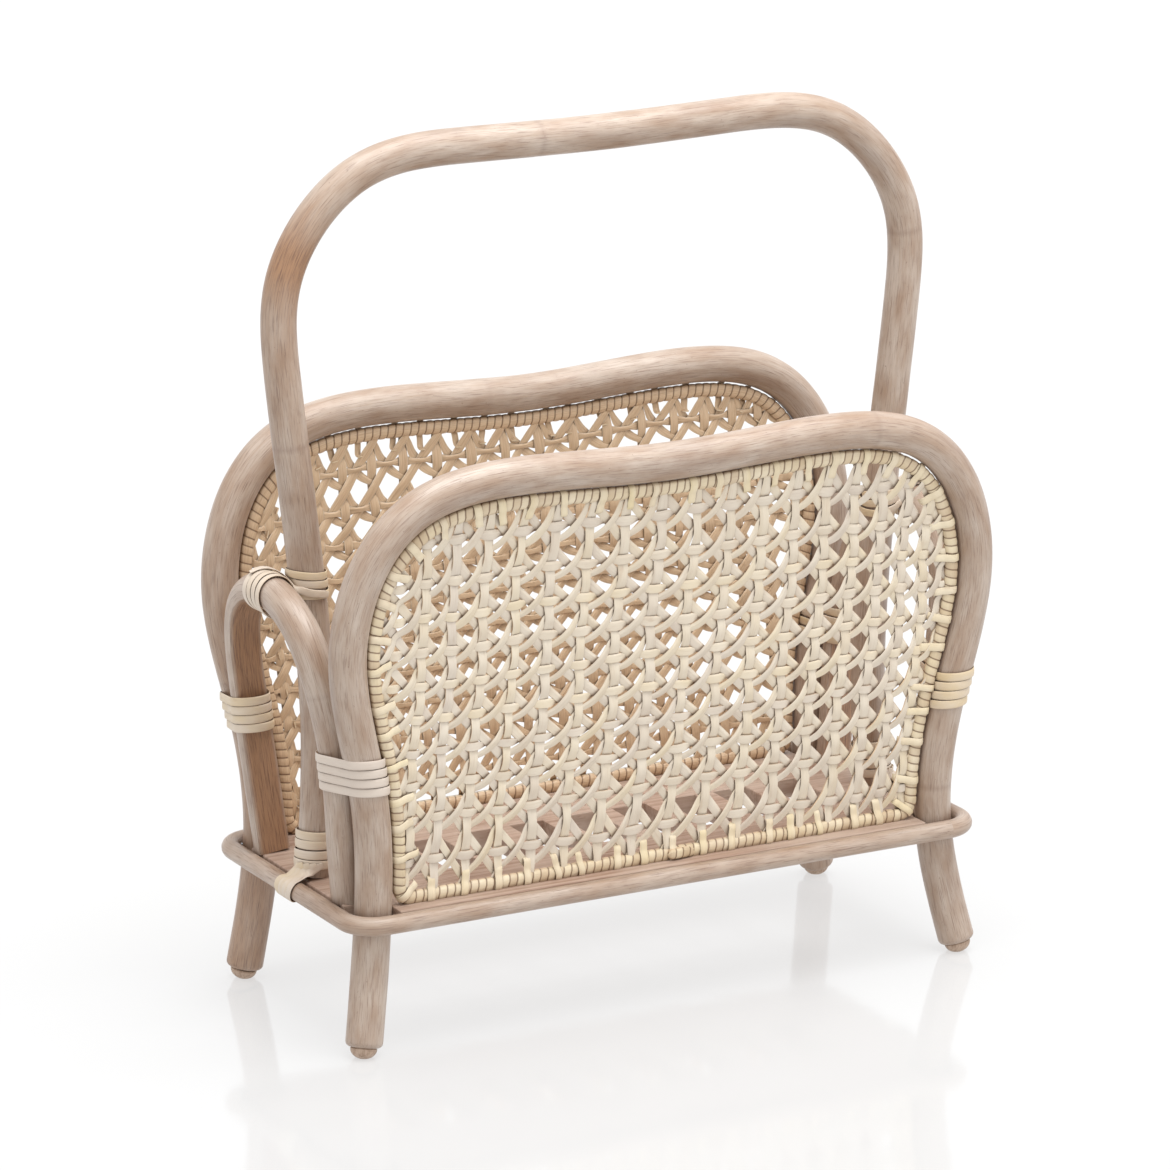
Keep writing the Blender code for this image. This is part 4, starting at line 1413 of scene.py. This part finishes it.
        bundle = Bundle(self.name + "_border_wrap")
        bundle.add(Bar(points, self.border_w / 2, self.border_t / 2, outward, sides=14, closed=True,
                       turn_pitch=pitch, relief=wound, tint=0.5))
        piece = bundle.make(self.palette.border, 75.0)
        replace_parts(piece, self.name + "_panel_border")
        self.knob(pitch)

    def knob(self, pitch: float) -> None:
        """The lapped end of the core, standing a little proud of the border.

        Args:
            pitch: width of one wrap.
        """
        sill = float(self.outline[0][1])
        x = np.linspace(0.0, self.lap, 30)
        lift = self.lap_rise * np.clip(1 - x / self.lap, 0.0, 1.0) ** 0.6
        points, outward = self.place(x + 0.004, np.full_like(x, sill) + 0.25 * lift, lift)
        rounding = 1 - (1 - np.clip(x / 0.003, 0, 1)) ** 2
        radius = self.lines.border_r * np.sqrt(np.clip(rounding, 0.02, 1.0))

        def wound(theta: np.ndarray, run: np.ndarray) -> np.ndarray:
            phase = run / pitch + theta / (2 * math.pi)
            return 0.90 + 0.10 * np.abs(np.sin(math.pi * (phase % 1.0))) ** 0.35

        bundle = Bundle(self.name + "_border_lap")
        bundle.add(Bar(points, radius, faces=outward, sides=14, turn_pitch=pitch, relief=wound))
        bundle.make(self.palette.border, 75.0)

    def ties(self) -> None:
        """Wraps that reach in over the edge of the weave, about one to a pitch."""
        bundle = Bundle(self.name + "_border_ties")
        length = run_of(self.outline)[-1]
        count = round(length / self.tie_pitch)
        shares = (np.arange(count) + 0.5 + self.rng.uniform(-0.16, 0.16, count)) / count
        spots = along(self.outline, shares)
        ahead = unit(along(self.outline, np.clip(shares + 0.002, 0, 1)) - spots)
        for spot, step in zip(spots, ahead):
            inward = np.array([step[1], -step[0]])
            slant = self.rng.uniform(-0.22, 0.22)
            longer = self.rng.uniform(0.90, 1.15)
            half, top = self.border_w / 2, self.border_t / 2
            path = settle([
                (-0.96 * half, 0.20 * top, 0.0), (-0.70 * half, 0.80 * top, 0.0), (0.0, 1.10 * top, 0.0),
                (0.72 * half, 0.86 * top, 0.0), (1.20 * half, 0.56 * top, 0.0),
                (1.85 * half * longer, 0.46 * top, 0.0), (2.30 * half * longer, 0.20 * top, 0.0),
                (2.42 * half * longer, -0.50 * top, 0.0)], 22)
            away = path[:, 0]
            flat = spot + away[:, None] * inward + (slant * np.clip(away, 0, 1))[:, None] * step
            points, outward = self.place(flat[:, 0], flat[:, 1], path[:, 1])
            tangents = unit(np.gradient(points, axis=0))
            side = np.array([step[0] * self.side.value, 0.0, step[1]])
            faces = np.cross(tangents, side)
            faces *= np.sign(np.sum(faces[8] * outward[8]))
            width = self.tie_w * self.rng.uniform(0.9, 1.15)
            bundle.add(Bar(points, width / 2, self.tie_t / 2, faces, sides=8, flatness=3.0,
                           tint=float(self.rng.uniform(0, 1)), offset=0.9 * len(bundle.bars)))
        bundle.make(self.palette.tie)


# ---------------------------------------------------------------- lashings
def oval(first: np.ndarray, first_r: float, second: np.ndarray, second_r: float,
         steps: int = 48) -> np.ndarray:
    """The outline of a strap pulled round two upright poles.

    Args:
        first: centre of one pole, x and y.
        first_r: radius there.
        second: centre of the other.
        second_r: radius there.
        steps: points on each round.
    Returns:
        Points anticlockwise, closed on the first.
    """
    line = second - first
    span = float(np.linalg.norm(line))
    heading = math.atan2(line[1], line[0])
    open_by = math.acos((first_r - second_r) / span)
    near = np.linspace(heading + open_by, heading + 2 * math.pi - open_by, steps)
    far = np.linspace(heading - open_by, heading + open_by, steps)
    points = np.vstack([
        first + first_r * np.stack([np.cos(near), np.sin(near)], axis=1),
        second + second_r * np.stack([np.cos(far), np.sin(far)], axis=1),
    ])
    return np.vstack([points, points[:1]])


@dataclass
class Lashings:
    """The peel lashings that hold the arches, the handle and the rim."""

    lines: Lines
    palette: Palette
    strap_w: float = 0.0050
    strap_t: float = 0.0009
    clear: float = 0.0004
    corner_lean: float = 0.13    # the left corner lashings rise this much towards the front
    arch_w: float = 0.0043       # strap round an arch's apex
    handle_w: float = 0.0044     # and round the handle there
    crossing_w: float = 0.0045   # and across both
    foot_w: float = 0.0052       # round the handle's foot
    fan_w: float = 0.0046        # where the strands that go over the rim start
    fan_grow: float = 0.0009     # how much wider they get

    def build(self) -> None:
        """Makes every lashing."""
        for end in End:
            for side in Side:
                self.corner(side, end)
            self.apex(end)
            self.foot(end)

    def strap(self, points: np.ndarray, faces: np.ndarray, tint: float, offset: float,
              width: Optional[Values] = None) -> Bar:
        """One length of peel with its ends drawn in.

        Args:
            points: its line.
            faces: outward directions.
            tint: how yellow it is.
            offset: where in the grain it starts.
            width: its width, if not the usual one.
        Returns:
            The bar.
        """
        run = run_of(points)
        ease = np.clip(np.minimum(run, run[-1] - run) / 0.004, 0.0, 1.0)
        full = self.strap_w if width is None else width
        return Bar(points, full / 2 * (0.75 + 0.25 * ease), self.strap_t / 2, faces, sides=12,
                   flatness=2.8, tint=tint, offset=offset)

    def corner(self, side: Side, end: End) -> None:
        """Four turns round an arch's leg and its frame.

        Args:
            side: the frame.
            end: the end.
        """
        lines = self.lines
        name = f"{side.name.lower()}_{end.name.lower()}_lashing"
        low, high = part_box(name)
        turns, per_turn = 4.0, 96
        rng = np.random.default_rng(60 + side.value * 3 + end.value)
        pitch = (high.z - low.z - self.strap_w) / (turns - 1) + 0.0003
        front = lines.arch_line[:len(lines.arch_line) // 2]
        middle = (low.z + high.z) / 2
        points, faces = [], []
        for i in range(int(turns * per_turn) + 1):
            turn = i / per_turn
            height = middle + (turn - turns / 2) * pitch
            leg = np.array([np.interp(height, front[:, 2], front[:, axis]) for axis in (0, 1)])
            grow = self.clear + self.strap_t / 2
            post = at_height(lines.frame_line, height)
            ring = oval(post, lines.pole_r + grow, leg, lines.arch_r + grow)
            share = np.array([(turn + 0.97) % 1.0])
            spot = along(ring, share)[0]
            ahead = along(ring, (share + 0.004) % 1.0)[0] - along(ring, (share - 0.004) % 1.0)[0]
            points.append((*spot, height))
            faces.append((*unit(np.array([ahead[1], -ahead[0]])), 0.0))
        points, faces = np.array(points), np.array(faces)
        run = run_of(points)
        flip = np.array([end.value, side.value, 1])
        points, faces = points * flip, faces * flip
        lean = self.corner_lean if end is End.LEFT else 0.0
        points[:, 2] += wander(rng, run, 0.11, 0.0003) - lean * (points[:, 1] - points[:, 1].mean())
        tint = {Side.FRONT: 0.0, Side.BACK: 0.75}[side] if end is End.LEFT else 1.0
        bundle = Bundle(name.replace("lashing", "tie"))
        bundle.add(self.strap(points, faces, tint, 5.0 * (side.value + 2) + end.value))
        piece = bundle.make(self.palette.lashing)
        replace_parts(piece, name)

    def wound(self, centre: Callable[[np.ndarray], np.ndarray], axis: np.ndarray, start: np.ndarray,
              radius: float, places: Sequence[float], tilt: float, highest: float,
              per_turn: int = 64) -> tuple[np.ndarray, np.ndarray]:
        """A strap wound round a pole.

        Args:
            centre: gives the pole's centre at a shift along its axis.
            axis: the pole's direction.
            start: a direction square to it, where the winding starts.
            radius: of the strap's middle.
            places: shift along the pole at the start of each turn and at the end.
            tilt: how far each turn leans along the pole.
            highest: where in a turn the lean is highest, in degrees.
            per_turn: stations in a turn.
        Returns:
            Points and outward directions.
        """
        turns = len(places) - 1
        turn = np.linspace(0.0, turns, turns * per_turn + 1)
        angle = 2 * math.pi * turn
        other = np.cross(axis, start)
        faces = np.cos(angle)[:, None] * start + np.sin(angle)[:, None] * other
        shift = np.interp(turn, np.arange(turns + 1), places)
        shift = shift + tilt * np.cos(angle - math.radians(highest))
        return centre(shift) + radius * faces, faces

    def handle_at(self, heights: np.ndarray) -> np.ndarray:
        """The handle's centre at each height, on the right end."""
        x = at_height(self.lines.handle_line, heights)[..., 0]
        return np.stack([x, np.zeros_like(x), heights], axis=-1)

    def joined(self, name: str, end: End, bars: list[Bar]) -> None:
        """Makes one lashing from straps laid out on the right end.

        Args:
            name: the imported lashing.
            end: the end it belongs to.
            bars: its straps.
        """
        bundle = Bundle(name.replace("lashing", "tie"))
        for bar in bars:
            bar.line = bar.line * (end.value, 1, 1)
            bar.faces = bar.faces * (end.value, 1, 1)
            bundle.add(bar)
        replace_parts(bundle.make(self.palette.lashing), name)

    def apex(self, end: End) -> None:
        """The lashing of an arch's apex to the handle.

        Args:
            end: the end.
        """
        lines = self.lines
        arch = lines.arch_line
        middle = arch[len(arch) // 2]
        grow = self.clear + self.strap_t / 2
        top = arch[len(arch) // 3:-len(arch) // 3]
        out, up, back = np.eye(3)[0], np.eye(3)[2], np.eye(3)[1]

        def on_arch(shift: np.ndarray) -> np.ndarray:
            return np.stack([np.interp(shift, top[:, 1], top[:, axis]) for axis in range(3)], axis=1)

        def on_handle(shift: np.ndarray) -> np.ndarray:
            return self.handle_at(middle[2] + shift)

        arch_turns = self.wound(on_arch, back, -out, lines.arch_r + grow,
                                (0.0112, 0.0060, 0.0004, -0.0052, -0.0100), 0.0014, 100.0)
        handle_turns = self.wound(on_handle, up, -out, lines.handle_r + grow,
                                  (0.0100, 0.0052, 0.0000, -0.0098), 0.0022, 180.0)
        self.joined(end.name.lower() + "_apex_lashing", end, [
            self.strap(*arch_turns, 0.35, 1.0, self.arch_w),
            self.strap(*handle_turns, 0.85, 7.0, self.handle_w),
            self.crossing(middle)])

    def crossing(self, middle: np.ndarray) -> Bar:
        """The strand that crosses from the arch to the handle's front over the turns.

        Args:
            middle: the arch's highest centre point.
        Returns:
            The bar.
        """
        lines = self.lines
        lift = self.clear + 1.6 * self.strap_t
        arch_r, handle_r = lines.arch_r + lift, lines.handle_r + lift
        handle_x = float(at_height(lines.handle_line, middle[2])[0])
        spots = []
        for degrees, y in ((55, 0.0100), (90, 0.0080), (120, 0.0050), (142, 0.0005), (158, -0.0050)):
            turn = math.radians(degrees)
            spots.append((middle[0] + arch_r * math.cos(turn), y, middle[2] + arch_r * math.sin(turn)))
        for degrees, rise in ((-52, 0.0010), (-85, -0.0008), (-130, -0.0030)):
            turn = math.radians(degrees)
            spots.append((handle_x + handle_r * math.cos(turn), handle_r * math.sin(turn),
                          middle[2] + rise))
        count = 64
        line = settle(spots, count)
        from_arch = unit((line - (middle[0], 0.0, middle[2])) * (1, 0, 1))
        from_pole = unit((line - (handle_x, 0.0, 0.0)) * (1, 1, 0))
        share = np.clip((np.linspace(0, 1, count) - 0.45) / 0.3, 0, 1)[:, None]
        return self.strap(line, from_arch * (1 - share) + from_pole * share, 0.3, 4.0, self.crossing_w)

    def foot(self, end: End) -> None:
        """The turns round the handle's foot, and the strands fanned down over the rim.

        Args:
            end: the end.
        """
        lines = self.lines
        low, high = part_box(end.name.lower() + "_foot_lashing")
        middle = (low.z + high.z) / 2
        grow = self.clear + self.strap_t / 2
        out, up = np.eye(3)[0], np.eye(3)[2]

        def on_handle(shift: np.ndarray) -> np.ndarray:
            return self.handle_at(middle + shift)

        turns = self.wound(on_handle, up, -out, lines.handle_r + grow,
                           (0.0100, 0.0053, -0.0006, -0.0066, -0.0112), 0.0014, 180.0)
        self.joined(end.name.lower() + "_foot_lashing", end, [self.strap(*turns, 0.5, 3.0, self.foot_w)])

        centre = self.handle_at(np.array([lines.sole_z + 0.006]))[0]
        rim_r = lines.rim_r + grow
        handle_r = lines.handle_r + grow + self.strap_t
        fan = []
        landings = ((-62, -0.0130), (-44, -0.0080), (-26, -0.0030), (-8, 0.0020))
        for index, (degrees, rim_y) in enumerate(landings):
            spots = []
            for lead, height in ((-26, 0.0024), (-12, 0.0012), (0, -0.0002)):
                turn = math.radians(degrees + lead)
                spots.append((centre[0] + handle_r * math.cos(turn), handle_r * math.sin(turn),
                              centre[2] + height))
            for over in range(80, -191, -30):
                turn = math.radians(over)
                share = min(1.0, (100 - over) / 60)
                behind = 0.45 * min(1.0, max(0.0, (-over) / 90))
                y = spots[2][1] * (1 - share) + rim_y * share * (1 - behind)
                spots.append((lines.rim_x + rim_r * math.cos(turn), y,
                              lines.rim_z + rim_r * math.sin(turn)))
            count = 72
            line = settle(spots, count)
            from_pole = unit((line - centre) * (1, 1, 0))
            from_rim = unit((line - (lines.rim_x, 0.0, lines.rim_z)) * (1, 0, 1))
            share = np.clip(np.linspace(-0.6, 6, count), 0, 1)[:, None]
            width = self.fan_w + self.fan_grow * share[:, 0]
            fan.append(self.strap(line, from_pole * (1 - share) + from_rim * share, 0.2 + 0.2 * index,
                                  9.0 + 1.3 * index, width))
        self.joined(end.name.lower() + "_rim_lashing", end, fan)


@dataclass
class Fasteners:
    """The screws, nails and brads, hidden inside the joints."""

    palette: Palette

    def build(self) -> None:
        """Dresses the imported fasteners."""
        for name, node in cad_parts.items():
            if not name.endswith(("_screw", "_nail", "_brad")):
                continue
            node.data.materials.clear()
            node.data.materials.append(self.palette.steel)
            log.info("%s: dressed", name)


# ---------------------------------------------------------------- studio
@dataclass
class Studio:
    """A pale glossy floor, soft light and a long lens."""

    azimuth: float = -28.33
    elevation: float = 15.96
    distance: float = 3.888
    target: tuple[float, float, float] = (-0.0091, 0.0, 0.2277)
    lens: float = 210.1
    sensor: float = 36.0
    floor: str = "#7A7A7A"
    floor_glow: float = 0.58     # lifts the floor to the surround's white
    sky: float = 1.0

    def build(self) -> None:
        """Makes the floor, the lights and the camera."""
        self.ground()
        self.light("overhead", (0.2, -0.3, 2.5), 1.8, 62.0)
        self.light("front_fill", (1.6, -3.0, 1.5), 1.6, 12.0)
        self.surround()
        self.camera()
        bpy.context.scene.view_settings.view_transform = "Standard"

    def ground(self) -> None:
        """A wide lacquered floor."""
        build = bmesh.new()
        bmesh.ops.create_grid(build, x_segments=1, y_segments=1, size=30.0)
        mesh = closed_up(build, "floor")
        made, tree = new_tree("white_lacquer_floor")
        place = add(tree, "ShaderNodeTexCoord").outputs["Object"]
        ripple = noise(tree, place, (0.05, 0.05, 0.05), 2.0, 0.5)
        bump = bumped(tree, 0.06, 0.002, ripple)
        surface(tree, {
            "Base Color": linear(self.floor), "Roughness": 0.09, "IOR": 1.35, "Normal": bump,
            "Emission Color": (1.0, 1.0, 1.0, 1.0), "Emission Strength": self.floor_glow})
        mesh.materials.append(made)
        floor = bpy.data.objects.new("floor", mesh)
        bpy.context.scene.collection.objects.link(floor)

    def light(self, name: str, place: tuple[float, float, float], size: float, power: float) -> None:
        """A square soft box aimed at the rack.

        Args:
            name: its name.
            place: where it stands.
            size: its side.
            power: watts.
        """
        lamp = bpy.data.lights.new(name, "AREA")
        lamp.shape, lamp.size, lamp.energy = "SQUARE", size, power
        made = bpy.data.objects.new(name, lamp)
        made.location = place
        aim = Vector((0.0, 0.0, 0.22)) - Vector(place)
        made.rotation_euler = aim.to_track_quat("-Z", "Y").to_euler()
        bpy.context.scene.collection.objects.link(made)

    def surround(self) -> None:
        """An even white surround."""
        world = bpy.data.worlds.new("surround")
        world.use_nodes = True
        tree = world.node_tree
        tree.nodes.clear()
        glow = add(tree, "ShaderNodeBackground", None, {0: (1.0, 1.0, 1.0, 1.0), 1: self.sky})
        add(tree, "ShaderNodeOutputWorld", None, {0: glow.outputs[0]})
        bpy.context.scene.world = world

    def camera(self) -> None:
        """The camera, from the front left and a little above."""
        az, el = math.radians(self.azimuth), math.radians(self.elevation)
        back = Vector((math.sin(az) * math.cos(el), -math.cos(az) * math.cos(el), math.sin(el)))
        data = bpy.data.cameras.new("camera")
        data.lens, data.sensor_width = self.lens, self.sensor
        data.clip_start, data.clip_end = 0.1, 100.0
        made = bpy.data.objects.new("camera", data)
        made.location = Vector(self.target) + back * self.distance
        made.rotation_euler = back.to_track_quat("Z", "Y").to_euler()
        bpy.context.scene.collection.objects.link(made)
        bpy.context.scene.camera = made


def main() -> None:
    """Builds the rack piece by piece, then the studio."""
    logging.basicConfig(level=logging.INFO, format="%(name)s %(message)s")
    lines = Lines()
    palette = Palette()
    PoleWork(lines, palette).build()
    Base(lines, palette).build()
    for side in Side:
        CanePanel(side, lines, palette, seed=5 if side is Side.FRONT else 6).build()
    Lashings(lines, palette).build()
    Fasteners(palette).build()
    Studio().build()


if __name__ == "__main__":
    main()
